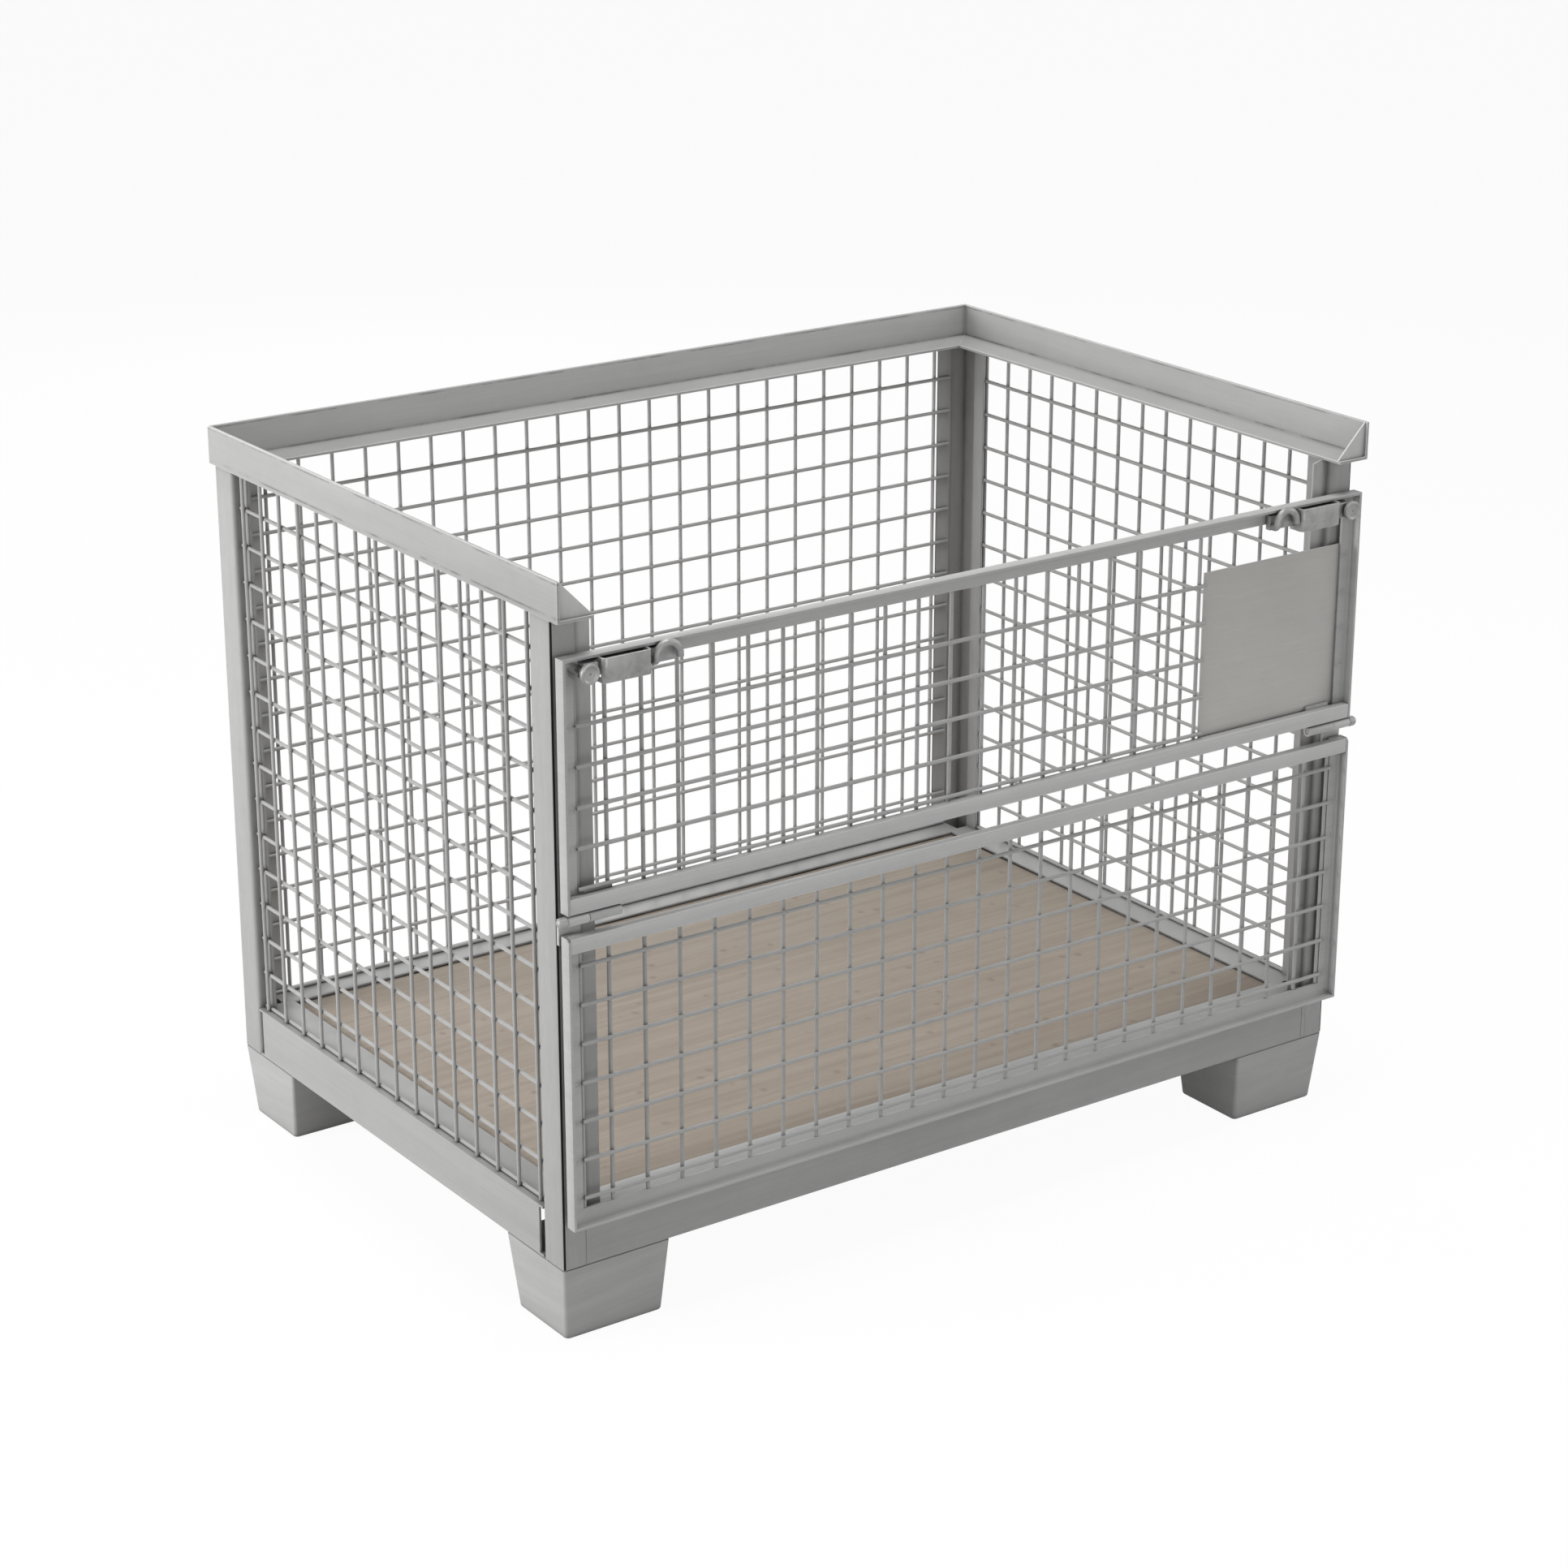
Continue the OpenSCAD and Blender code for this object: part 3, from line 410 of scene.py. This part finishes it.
def painted_steel(name, colour, rough=0.44, stretch=(3, 3, 60), turn=0.0, streak=0.10, cloud=0.07,
                  hair=0.04, speck=0.12, grime_and_shade=0.72, reach=0.009, marks=(), filled=False):
    """Satin coated steel: cloudy tone, long rolled streaks, hair lines, specks and a faint orange peel,
    with a wide soft painted shade, and grime and painted shade in the corners, but no grime or corner
    shade in filled seams. Marks name further masks, some of them painted shade."""
    mat, t, shader, place = new_material(name)
    shader["Specular IOR Level"].default_value = 0.3
    cloudy = effect(t, "cloud", place, Scale=5.0, Fine=0.4)
    streaks = effect(t, "streaks", place, Stretch=stretch, Turn=turn)
    specks = effect(t, "specks", place, Scale=110.0, Share=0.06)
    corners = effect(t, "corners", place, Reach=reach)
    tint = tone_mix(t, cloudy["Mask"], shade(colour, 1 - cloud), shade(colour, 1 + cloud))
    tint = over(t, tint, streaks["Mask"], shade(colour, 1 + 2.2 * streak), 0.5)
    tint = over(t, tint, streaks["Hair"], shade(colour, 1 - 4 * hair), 0.35)
    tint = over(t, tint, specks["Mask"], shade(colour, 0.72), speck)
    # Painted shade: darker near other parts
    tint = over(t, tint, corners["Shade"], shade(colour, 0.3), 0.3)
    # Grime and painted shade where faces and pieces meet, none at filled seams
    shade_and_dirt = corners["Grime"]
    if filled:
        shade_and_dirt = math_of(t, "MULTIPLY", shade_and_dirt, math_of(t, "SUBTRACT", 1.0, seam_mask(t, place)))
    tint = over(t, tint, shade_and_dirt, shade(colour, 0.16), grime_and_shade)
    # Further marks: groove, rail and fold are painted shade, weld and scratch are the steel's own
    for mark in marks:
        mask, tone, amount = MARKS[mark]
        tone = shade(colour, tone) if isinstance(tone, float) else tone
        tint = over(t, tint, mask(t, place), tone, amount)
    t.links.new(tint, shader["Base Color"])
    t.links.new(math_of(t, "MULTIPLY_ADD", streaks["Mask"], 0.16, rough - 0.08), shader["Roughness"])
    peel = math_of(t, "MULTIPLY_ADD", streaks["Hair"], 0.5, noise(t, place, 420.0, 2.0))
    fine_bump(t, peel, 0.12, 0.0004, shader)
    return mat


def zinc_plated(name, colour):
    """Zinc-plated fittings: irregular patches of dull and bright plating, with grime and painted shade
    in the corners.
    """
    mat, t, shader, place = new_material(name)
    shader["Metallic"].default_value = 0.3
    patches = noise(t, place, 38.0, 4.0, 0.55, 1.4)
    cloudy = effect(t, "cloud", place, Scale=16.0, Fine=0.5)
    specks = effect(t, "specks", place, Scale=240.0, Share=0.12)
    corners = effect(t, "corners", place, Reach=0.007)
    tint = tone_mix(t, cloudy["Mask"], shade(colour, 0.84), shade(colour, 1.1))
    tint = over(t, tint, span(t, patches, 0.40, 0.62), shade(colour, 1.38), 0.55)
    tint = over(t, tint, specks["Mask"], shade(colour, 0.5), 0.45)
    # Grime and painted shade in the corners
    tint = over(t, tint, corners["Grime"], shade(colour, 0.14), 0.75)
    t.links.new(tint, shader["Base Color"])
    t.links.new(span(t, patches, 0.35, 0.65, 0.52, 0.34), shader["Roughness"])
    fine_bump(t, noise(t, place, 520.0, 3.0), 0.25, 0.0004, shader)
    return mat


def board_wood(name):
    """Pale board: long grain along X from stretched noise, with cloudy tone, scuffs, and grime and
    painted shade along its edges."""
    dark_grain, light_grain = (0.31, 0.255, 0.205), (0.42, 0.36, 0.30)
    pale_wear, scuff, shade_and_dirt = (0.47, 0.41, 0.35), (0.2, 0.155, 0.12), (0.05, 0.04, 0.032)
    mat, t, shader, place = new_material(name)
    shader["Roughness"].default_value = 0.7
    grain = effect(t, "streaks", place, Stretch=(2.5, 55, 55))
    cloudy = effect(t, "cloud", place, Scale=4.0, Fine=0.3)
    specks = effect(t, "specks", place, Scale=45.0, Share=0.12)
    corners = effect(t, "corners", place, Reach=0.012)
    tint = tone_mix(t, grain["Mask"], dark_grain, light_grain)
    tint = over(t, tint, cloudy["Mask"], pale_wear, 0.4)
    tint = over(t, tint, specks["Mask"], scuff, 0.4)
    # Grime and painted shade along the edges
    tint = over(t, tint, corners["Grime"], shade_and_dirt, 0.8)
    t.links.new(tint, shader["Base Color"])
    fine_bump(t, grain["Hair"], 0.35, 0.0006, shader)
    return mat


FRAME_GREY = (0.455, 0.455, 0.45)
PLATE_GREY = (0.64, 0.625, 0.60)
MATERIALS = {
    "posts": painted_steel("post paint", FRAME_GREY, rough=0.56, stretch=(50, 50, 2.5),
                           marks=["groove", "fold"], filled=True),
    "rails": painted_steel("rail paint", shade(FRAME_GREY, 1.02), stretch=(3, 3, 55), streak=0.08,
                           marks=["rail"]),
    "base": painted_steel("base paint", shade(FRAME_GREY, 0.95), stretch=(2, 2, 38), turn=0.03,
                          streak=0.16, filled=True),
    "feet": painted_steel("foot paint", shade(FRAME_GREY, 1.06), stretch=(3, 3, 42), turn=0.12,
                          streak=0.18),
    # Lighter copy of the frame grey for the gates, partly painted light on these forward parts
    "gates": painted_steel("gate paint", shade(FRAME_GREY, 1.2), stretch=(3, 3, 55), marks=["weld"]),
    "plate": painted_steel("brushed plate", PLATE_GREY, rough=0.5, stretch=(4, 4, 110), streak=0.04,
                           hair=0.03, cloud=0.04, marks=["scratch"]),
    # Lighter copies of the frame grey for the tubes and gussets, partly painted light on them
    "tubes": painted_steel("tube paint", shade(FRAME_GREY, 1.46), stretch=(3, 3, 55)),
    "gussets": painted_steel("gusset paint", shade(FRAME_GREY, 1.5), stretch=(30, 3, 3), grime_and_shade=0.85),
    "wires": painted_steel("wire coating", shade(FRAME_GREY, 1.06), rough=0.4, stretch=(30, 30, 30),
                           streak=0.08, speck=0.3, reach=0.006),
    "fittings": zinc_plated("zinc fittings", shade(FRAME_GREY, 0.76)),
    # Brighter finish of the rounded edges: rubbed paint with a painted edge highlight
    "worn_and_highlit": painted_steel("worn and highlit edge", shade(FRAME_GREY, 1.65), rough=0.36, streak=0.03,
                            grime_and_shade=0.5),
    "board": board_wood("pale board"),
}

# Surfaces

SMOOTH_LIMIT = math.radians(33)
EDGE_LIMIT = math.radians(35)


def smooth_group():
    """Modifier that shades faces smoothly, with edges kept sharp where they turn by more than a
    limit."""
    g = bpy.data.node_groups.new("smooth by angle", "GeometryNodeTree")
    g.is_modifier = True
    g.interface.new_socket("Geometry", in_out="INPUT", socket_type="NodeSocketGeometry")
    g.interface.new_socket("Geometry", in_out="OUTPUT", socket_type="NodeSocketGeometry")
    shape = g.nodes.new("NodeGroupInput").outputs[0]
    turn = g.nodes.new("GeometryNodeInputMeshEdgeAngle").outputs["Unsigned Angle"]
    past = node(g, "FunctionNodeCompare", {0: turn, 1: SMOOTH_LIMIT}, data_type="FLOAT",
                operation="GREATER_THAN")
    faces = node(g, "GeometryNodeSetShadeSmooth", {"Geometry": shape, "Shade Smooth": True},
                 domain="FACE")
    edges = node(g, "GeometryNodeSetShadeSmooth",
                 {"Geometry": faces.outputs[0], "Selection": past.outputs[0], "Shade Smooth": False},
                 domain="EDGE")
    g.links.new(edges.outputs[0], g.nodes.new("NodeGroupOutput").inputs[0])
    return g


SMOOTH = smooth_group()


def closed_part(points):
    """Closed skin over a grid of points, rows along the path and columns round the section, with flat
    ends. Gives the points and the faces, turned so that they face outwards: the sum of the tetrahedra
    from the middle to each face tells the sense."""
    rows, cols = points.shape[:2]
    index = np.arange(rows * cols).reshape(rows, cols)
    ahead = np.roll(index, -1, axis=1)
    faces = np.stack([index[:-1], ahead[:-1], ahead[1:], index[1:]], -1).reshape(-1, 4).tolist()
    faces += [index[0, ::-1].tolist(), index[-1].tolist()]
    flat = points.reshape(-1, 3)
    middle = flat.mean(0)
    quads = np.array(faces[:-2])
    a, b, c, d = (flat[quads[:, k]] - middle for k in range(4))
    volume = (a * (np.cross(b, c) + np.cross(c, d))).sum()
    for ring in faces[-2:]:
        p = flat[ring] - middle
        volume += (p[0] * np.cross(p[1:-1], p[2:])).sum()
    if volume < 0:
        faces = [f[::-1] for f in faces]
    return flat, faces


def make_piece(name, parts, material, body, replaced):
    """One object from closed parts, riding on a body in place of CAD nodes."""
    verts, faces, start = [], [], 0
    for flat, part_faces in parts:
        verts.append(flat)
        faces += [[i + start for i in f] for f in part_faces]
        start += len(flat)
    mesh = bpy.data.meshes.new(name)
    mesh.from_pydata(np.concatenate(verts).tolist(), [], faces)
    mesh.materials.append(MATERIALS[material])
    mesh.polygons.foreach_set("use_smooth", np.full(len(mesh.polygons), True))
    mesh.update()
    piece = bpy.data.objects.new(name, mesh)
    scene.collection.objects.link(piece)
    piece.modifiers.new("smooth curves", "NODES").node_group = SMOOTH
    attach(piece, body)
    if replaced:
        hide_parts(*replaced)


def round_bar(a, b, s, radius, sides=10):
    """Closed round bar on the line from a to b. Each distance s along the line has a ring of its own
    radius: a + s along + radius (cos t side + sin t up), for t once round."""
    along = (b - a) / np.linalg.norm(b - a)
    side = np.cross(along, [0, 0, 1.0]) if abs(along[2]) < 0.9 else np.array([1.0, 0, 0])
    side /= np.linalg.norm(side)
    t = np.linspace(0, 2 * math.pi, sides, endpoint=False)
    ring = np.cos(t)[:, None] * side + np.sin(t)[:, None] * np.cross(along, side)
    return closed_part(a + s[:, None, None] * along + radius[:, None, None] * ring)


def wire(a, b, crossings, r, nugget=0.1):
    """Straight round wire from a to b. Its radius grows by a small share round each crossing, as a bell
    curve of the distance, for the welded spot, and its ends are slightly rounded."""
    a, b = np.array(a, float), np.array(b, float)
    length = np.linalg.norm(b - a)
    crossings = np.array([c for c in crossings if r < c < length - r])
    steps = np.array([-2.2, -1.1, 0, 1.1, 2.2]) * r
    s = np.concatenate([[0, 0.4 * r, r, length - r, length - 0.4 * r, length],
                        (crossings[:, None] + steps).ravel()])
    s = np.unique(np.clip(s, 0, length).round(6))
    off = np.abs(s[:, None] - crossings).min(1) if len(crossings) else np.full(len(s), length)
    radius = r * (1 + nugget * np.exp(-((off / (1.1 * r)) ** 2)))
    end = np.minimum(s, length - s) / r
    radius *= np.sqrt(np.clip(1 - 0.45 * np.clip(1 - end, 0, 1) ** 2, 0, 1))
    return round_bar(a, b, s, radius)


def bead(a, b, r=0.0019):
    """Run of weld from a to b: a round bead whose radius ripples along it, r (1 + 0.09 sin(2 pi s /
    2.1 mm) + 0.07 sin(2 pi s / 5.3 mm)), and runs out at both ends as a square root."""
    a, b = np.array(a, float), np.array(b, float)
    length = np.linalg.norm(b - a)
    s = np.linspace(0, length, max(8, int(length / 0.0005)))
    ends = np.sqrt(np.clip(np.minimum(s, length - s) / (1.5 * r), 0.05, 1))
    ripple = 0.09 * np.sin(2 * math.pi * s / 0.0021) + 0.07 * np.sin(2 * math.pi * s / 0.0053)
    return round_bar(a, b, s, r * ends * (1 + ripple))


def turned_part(profile, axis, middle, sides=48):
    """Surface of revolution about a line along one axis, through the middle in the other two. The
    profile gives pairs of place on the axis and radius."""
    profile = np.array(profile)
    t = np.linspace(0, 2 * math.pi, sides, endpoint=False)
    points = np.empty((len(profile), sides, 3))
    a, b = (k for k in range(3) if k != axis)
    points[..., axis] = profile[:, :1]
    points[..., a] = middle[0] + profile[:, 1:] * np.cos(t)
    points[..., b] = middle[1] + profile[:, 1:] * np.sin(t)
    return closed_part(points)


def rounded_box_section(x0, x1, y0, y1, r, n=8):
    """Outline of a box with round corners: a quarter circle about each corner's centre, n + 1 points to
    a corner."""
    r = min(r, (x1 - x0) / 2, (y1 - y0) / 2)
    corners = [(x1 - r, y1 - r, 0), (x0 + r, y1 - r, 90), (x0 + r, y0 + r, 180),
               (x1 - r, y0 + r, 270)]
    points = []
    for cx, cy, start in corners:
        t = np.radians(start + np.linspace(0, 90, n + 1))
        points.append(np.stack([cx + r * np.cos(t), cy + r * np.sin(t)], 1))
    return np.concatenate(points)


def at_height(outline, z):
    """Flat outline lifted to a height."""
    return np.column_stack([outline, np.full(len(outline), z)])


# Mesh panels

WIRE_R = 0.00255
PITCH = 0.05

# Walls: the wires' lower and upper ends, the cross wires' levels, the planes of the uprights and of the
# cross wires, and the cross wires' ends
SILL, POST_TOP = 0.168, 0.92
WALL_FIRST = 0.22
WALL_Z = np.concatenate([[SILL + 0.0025], WALL_FIRST + np.arange(14) * PITCH])
SIDE_UPRIGHT_X, SIDE_CROSS_X, SIDE_END_Y = 0.609, 0.6045, 0.3655
BACK_UPRIGHT_Y, BACK_CROSS_Y, BACK_END_X = 0.4005, 0.396, 0.576

# Gates: the same, with the outermost uprights' place, the cross wires' ends beside the blank plate, and
# the uprights' lower ends behind the left hinge leaf, which reaches in to LEAF_X
GATE_UPRIGHT_Y, GATE_CROSS_Y, GATE_END_X = -0.4195, -0.424, 0.593
OUTER_UPRIGHT_X, PLATE_SIDE_X = 0.5905, 0.359
LOWER_FOOT, LOWER_TOP, LOWER_FIRST = 0.1822, 0.5232, 0.1965
UPPER_TOP, UPPER_FIRST = 0.8558, 0.592
UPPER_FOOT, UPPER_FOOT_AT_LEAF, LEAF_X = 0.5806, 0.5905, 0.54


def facing_y(along, plane, z):
    """Point of a panel that faces along Y."""
    return along, plane, z


def facing_x(along, plane, z):
    """Point of a panel that faces along X."""
    return plane, along, z


def ladder(count):
    """Places on the mesh pitch, count of them on each side of the middle."""
    return np.arange(-count, count + 1) * PITCH


def panel(name, facing, uprights, z_ends, upright_at, levels, cross_ends, cross_at, body, replaced):
    """Mesh panel of upright wires in one plane and cross wires in another, each a wire with its welded
    spots where it meets the others."""
    parts = [wire(facing(u, upright_at, z0), facing(u, upright_at, z1), levels - z0, WIRE_R)
             for u, (z0, z1) in zip(uprights, z_ends)]
    start, end = cross_ends
    parts += [wire(facing(start, cross_at, z), facing(end, cross_at, z), uprights - start, WIRE_R)
              for z in levels]
    make_piece(name, parts, "wires", body, [replaced])


def wall_panels():
    """The two side panels and the back panel."""
    uprights = ladder(7)
    for side, sx in (("left", -1), ("right", 1)):
        panel(f"side_wires_{side}", facing_x, uprights, [(SILL, POST_TOP)] * len(uprights),
              sx * SIDE_UPRIGHT_X, WALL_Z, (-SIDE_END_Y, SIDE_END_Y), sx * SIDE_CROSS_X, "root",
              f"side_mesh_{side}")
    uprights = ladder(11)
    panel("back_wires", facing_y, uprights, [(SILL, POST_TOP)] * len(uprights), BACK_UPRIGHT_Y, WALL_Z,
          (-BACK_END_X, BACK_END_X), BACK_CROSS_Y, "root", "back_mesh")


def gate_panels():
    """The lower gate's panel, and the upper gate's, which ends at the blank plate."""
    uprights = np.concatenate([[-OUTER_UPRIGHT_X], ladder(11), [OUTER_UPRIGHT_X]])
    panel("lower_gate_wires", facing_y, uprights, [(LOWER_FOOT, LOWER_TOP)] * len(uprights),
          GATE_UPRIGHT_Y, LOWER_FIRST + np.arange(7) * PITCH, (-GATE_END_X, GATE_END_X), GATE_CROSS_Y,
          "lower_gate", "lower_gate_mesh")
    uprights = np.arange(-11, 8) * PITCH
    z_ends = [(UPPER_FOOT_AT_LEAF if u < -LEAF_X else UPPER_FOOT, UPPER_TOP) for u in uprights]
    panel("upper_gate_wires", facing_y, uprights, z_ends, GATE_UPRIGHT_Y,
          UPPER_FIRST + np.arange(5) * PITCH, (-GATE_END_X, PLATE_SIDE_X), GATE_CROSS_Y, "upper_gate",
          "upper_gate_mesh")


# Feet

FOOT_HEIGHT, FOOT_LENGTH, FOOT_WIDTH = 0.1, 0.153, 0.133
# How far the walls lean in at the sole: at the outer and inner ends, and on the outer and inner sides
FOOT_LEAN = (0.0074, 0.0066, 0.0096, 0.014)
FOOT_WALL, FOOT_RIM, DRAIN_R = 0.003, 0.0038, 0.007
FOOT_AT = (0.616, 0.4105)


def foot(name, sx, sy):
    """Pressed foot: a tapering box with round corners whose lower rim is rolled in by a quarter circle.
    Each height has its own rounded section, and the sole is pierced by the drain hole."""

    def section(z, inset, corner):
        """Rounded section at a height: the box at the top, less the lean, which grows downwards."""
        lean = 1 - z / FOOT_HEIGHT
        x0, x1, y0, y1 = (side * lean + inset for side in FOOT_LEAN)
        return at_height(rounded_box_section(x0, FOOT_LENGTH - x1, y0, FOOT_WIDTH - y1, corner), z)

    # Height, inset and corner radius: the turned edge under the base, the wall, and the rolled rim
    levels = [(FOOT_HEIGHT, 0.0016, 0.003), (FOOT_HEIGHT - 0.0012, 0.0016, 0.003),
              (FOOT_HEIGHT - 0.0018, 0.0003, 0.0035), (FOOT_HEIGHT - 0.0024, 0.0, 0.0038),
              (0.08, 0.0, 0.0042), (0.03, 0.0, 0.005)]
    levels += [(FOOT_RIM * (1 - math.sin(a)), FOOT_RIM * (1 - math.cos(a)), 0.0055)
               for a in np.radians(np.linspace(0, 90, 6))]
    rings = [section(*level) for level in levels]
    centre = np.array([FOOT_LENGTH / 2, FOOT_WIDTH / 2])
    out = rings[-1][:, :2] - centre
    t = np.arctan2(out[:, 1], out[:, 0])
    circle = np.stack([np.cos(t), np.sin(t)], 1)
    for z, r in ((0.0, DRAIN_R + 0.0006), (0.0008, DRAIN_R), (FOOT_WALL, DRAIN_R)):
        rings.append(at_height(centre + r * circle, z))
    rings += [section(FOOT_WALL, FOOT_WALL, 0.006),
              section(FOOT_HEIGHT - FOOT_WALL, FOOT_WALL, 0.004)]
    points = np.array(rings)
    points[..., :2] = (FOOT_AT - points[..., :2]) * (sx, sy)
    make_piece(f"{name}_pressed", [closed_part(points)], "feet", "root", [name])


def feet():
    """The four pressed feet."""
    for end, sy in (("front", -1), ("rear", 1)):
        for side, sx in (("left", -1), ("right", 1)):
            foot(f"{end}_{side}_foot", sx, sy)


# Studs and pins

STUD_X, STUD_Z = 0.5857, 0.8593
# From the dished face over the rolled rim and down the shank to the fillet of weld at the post
STUD_PROFILE = [
    (-0.4473, 0.0003), (-0.4473, 0.0009), (-0.4481, 0.0014), (-0.4483, 0.0020), (-0.4482, 0.0062),
    (-0.4483, 0.0080), (-0.4487, 0.0089), (-0.4493, 0.0097), (-0.4495, 0.0104), (-0.4489, 0.0121),
    (-0.4481, 0.0125), (-0.4443, 0.0125), (-0.4438, 0.0122), (-0.4435, 0.0116), (-0.4435, 0.0056),
    (-0.4429, 0.0050), (-0.4145, 0.0050), (-0.4138, 0.0056), (-0.4132, 0.0065), (-0.4124, 0.0072),
    (-0.4114, 0.0075), (-0.4106, 0.0075),
]

PIN_Y, PIN_Z = -0.4305, 0.559
PIN_CAP_X, PIN_CAP_REACH, PIN_CAP_R = 0.6210, 0.0058, 0.0068
# From the inner end along the shank to the shoulder of the cap
PIN_PROFILE = [(0.5410, 0.0003), (0.5410, 0.0030), (0.5415, 0.0035), (0.6141, 0.0035),
               (0.61415, 0.0056), (0.6144, 0.0064), (0.6150, PIN_CAP_R), (PIN_CAP_X, PIN_CAP_R)]


def studs():
    """Turned latch studs: a head with a rolled rim, a dished face and a centre mark, a shank, and a
    fillet of weld where the collar meets the post. Each is its profile turned about a line along Y."""
    for side, sx in (("left", -1), ("right", 1)):
        part = turned_part(STUD_PROFILE, 1, (sx * STUD_X, STUD_Z))
        make_piece(f"turned_stud_{side}", [part], "fittings", "root", [f"latch_stud_{side}"])


def pins():
    """Hinge pins of the upper gate: a shank in the knuckles and a cap of the knuckle's size, whose end
    is half an ellipse. Each is its profile turned about a line along X."""
    profile = PIN_PROFILE + [(PIN_CAP_X + PIN_CAP_REACH * math.sin(a),
                              max(0.0003, PIN_CAP_R * math.cos(a)))
                             for a in np.radians(np.linspace(15, 90, 6))]
    for side, sx in (("left", -1), ("right", 1)):
        part = turned_part([(sx * x, r) for x, r in profile], 0, (PIN_Y, PIN_Z))
        make_piece(f"turned_pin_{side}", [part], "fittings", "root", [f"hinge_pin_{side}"])


# Filled seams and weld beads

# Seam fillers: from side to side, from inside to the face, and up the base
SEAM_X, SEAM_Y, SEAM_Z = (0.5774, 0.5832), (0.4080, 0.4107), (0.1004, 0.13, 0.1672)
# Beads: the gussets' up the rails' sides and along their flat legs, and the posts' along the rails
GUSSET_BACK, RAIL_SIDE, RAIL_FLAT = -0.4286, 0.6158, 0.9242
GUSSET_Z, GUSSET_X = (0.928, 0.966), (0.6125, 0.574)
POST_FACE, UNDER_RAIL, POST_X, POST_BEAD_R = 0.4108, 0.9194, (0.612, 0.584), 0.0016


def seams():
    """Filled seams between the posts' front legs and the base's webs: a small box section with round
    corners carried upwards, a fifth of a millimetre proud."""
    ring = rounded_box_section(*SEAM_X, *SEAM_Y, 0.0003, 3)
    parts = [closed_part(np.array([at_height(ring * [sx, sy], z) for z in SEAM_Z]))
             for sx in (-1, 1) for sy in (-1, 1)]
    make_piece("seam_fillers", parts, "base", "root", [])


def beads():
    """Welds of the gussets to the rails' legs, on their back, and of the posts' tops to the rails."""
    parts = []
    for sx in (-1, 1):
        low, high = GUSSET_Z
        parts.append(bead((sx * RAIL_SIDE, GUSSET_BACK, low), (sx * RAIL_SIDE, GUSSET_BACK, high)))
        outer, inner = GUSSET_X
        parts.append(bead((sx * outer, GUSSET_BACK, RAIL_FLAT), (sx * inner, GUSSET_BACK, RAIL_FLAT)))
        outer, inner = POST_X
        for sy in (-1, 1):
            parts.append(bead((sx * outer, sy * POST_FACE, UNDER_RAIL),
                              (sx * inner, sy * POST_FACE, UNDER_RAIL), POST_BEAD_R))
    make_piece("frame_welds", parts, "rails", "root", [])


# Kept CAD nodes

JOIN_WITHIN = 0.00001
# Finishes whose rounded edges keep their own tone, with no painted edge highlight
EVEN_EDGES = ("posts", "base", "board")
# Material, edge radius and the nodes that take them
FINISHES = [
    ("posts", 0.00025, ["front_left_post", "front_right_post", "rear_left_post", "rear_right_post"]),
    # The posts' hinge leaves take the lighter tube paint: painted light on leaves that lie in shade
    ("tubes", 0.0006, ["post_hinge_leaf_left", "post_hinge_leaf_right"]),
    ("rails", 0.0007, ["top_rail_left", "top_rail_right", "top_rail_back"]),
    ("gussets", 0.0004, ["rail_gusset_left", "rail_gusset_right"]),
    ("base", 0.0003, ["base_rail_front", "base_rail_back", "base_rail_left", "base_rail_right"]),
    ("base", 0.0008, ["floor_bearer_left", "floor_bearer_middle", "floor_bearer_right",
                      "sill_barrel_left", "sill_barrel_middle", "sill_barrel_right"]),
    ("gates", 0.0006, ["upper_gate_top_angle", "upper_gate_left_angle", "upper_gate_right_angle",
                       "lower_gate_left_angle", "lower_gate_right_angle", "lower_gate_bottom_angle"]),
    ("tubes", 0.0012, ["upper_gate_tube", "lower_gate_tube"]),
    ("gates", 0.0012, ["gate_hinge_leaf_left", "gate_hinge_leaf_right"]),
    ("plate", 0.0003, ["name_plate"]),
    ("board", 0.001, ["floor_board"]),
    ("fittings", 0.0009, ["sill_pin_left", "sill_pin_middle", "sill_pin_right", "latch_hook_left",
                          "latch_hook_right"]),
    ("fittings", 0.0004, ["latch_guide_left", "latch_guide_right", "latch_bolt_left",
                          "latch_bolt_right"]),
]


def finish_node(name, material, width):
    """CAD node shown as it is, with its triangles joined, its edges rounded, its curves shaded smoothly
    and a finish of its own. Rounded edges take the brighter finish of rubbed paint with a painted
    highlight, except where the finish is among the even ones."""
    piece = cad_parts[name]
    piece.data.materials.clear()
    piece.data.materials.append(MATERIALS[material])
    piece.modifiers.new("joined triangles", "WELD").merge_threshold = JOIN_WITHIN
    edges = piece.modifiers.new("rounded edges", "BEVEL")
    edges.width = width
    edges.segments = 2
    edges.limit_method = "ANGLE"
    edges.angle_limit = EDGE_LIMIT
    # Rounded edges take rubbed paint with a painted highlight
    if material not in EVEN_EDGES:
        piece.data.materials.append(MATERIALS["worn_and_highlit"])
        edges.material = 1
    piece.modifiers.new("smooth curves", "NODES").node_group = SMOOTH


def kept_nodes():
    """Every CAD node that is shown as it is."""
    for material, width, names in FINISHES:
        for name in names:
            finish_node(name, material, width)


place_camera()
light_stage()
lay_floor()
wall_panels()
gate_panels()
feet()
studs()
pins()
seams()
beads()
kept_nodes()

scene.view_settings.view_transform = "Standard"
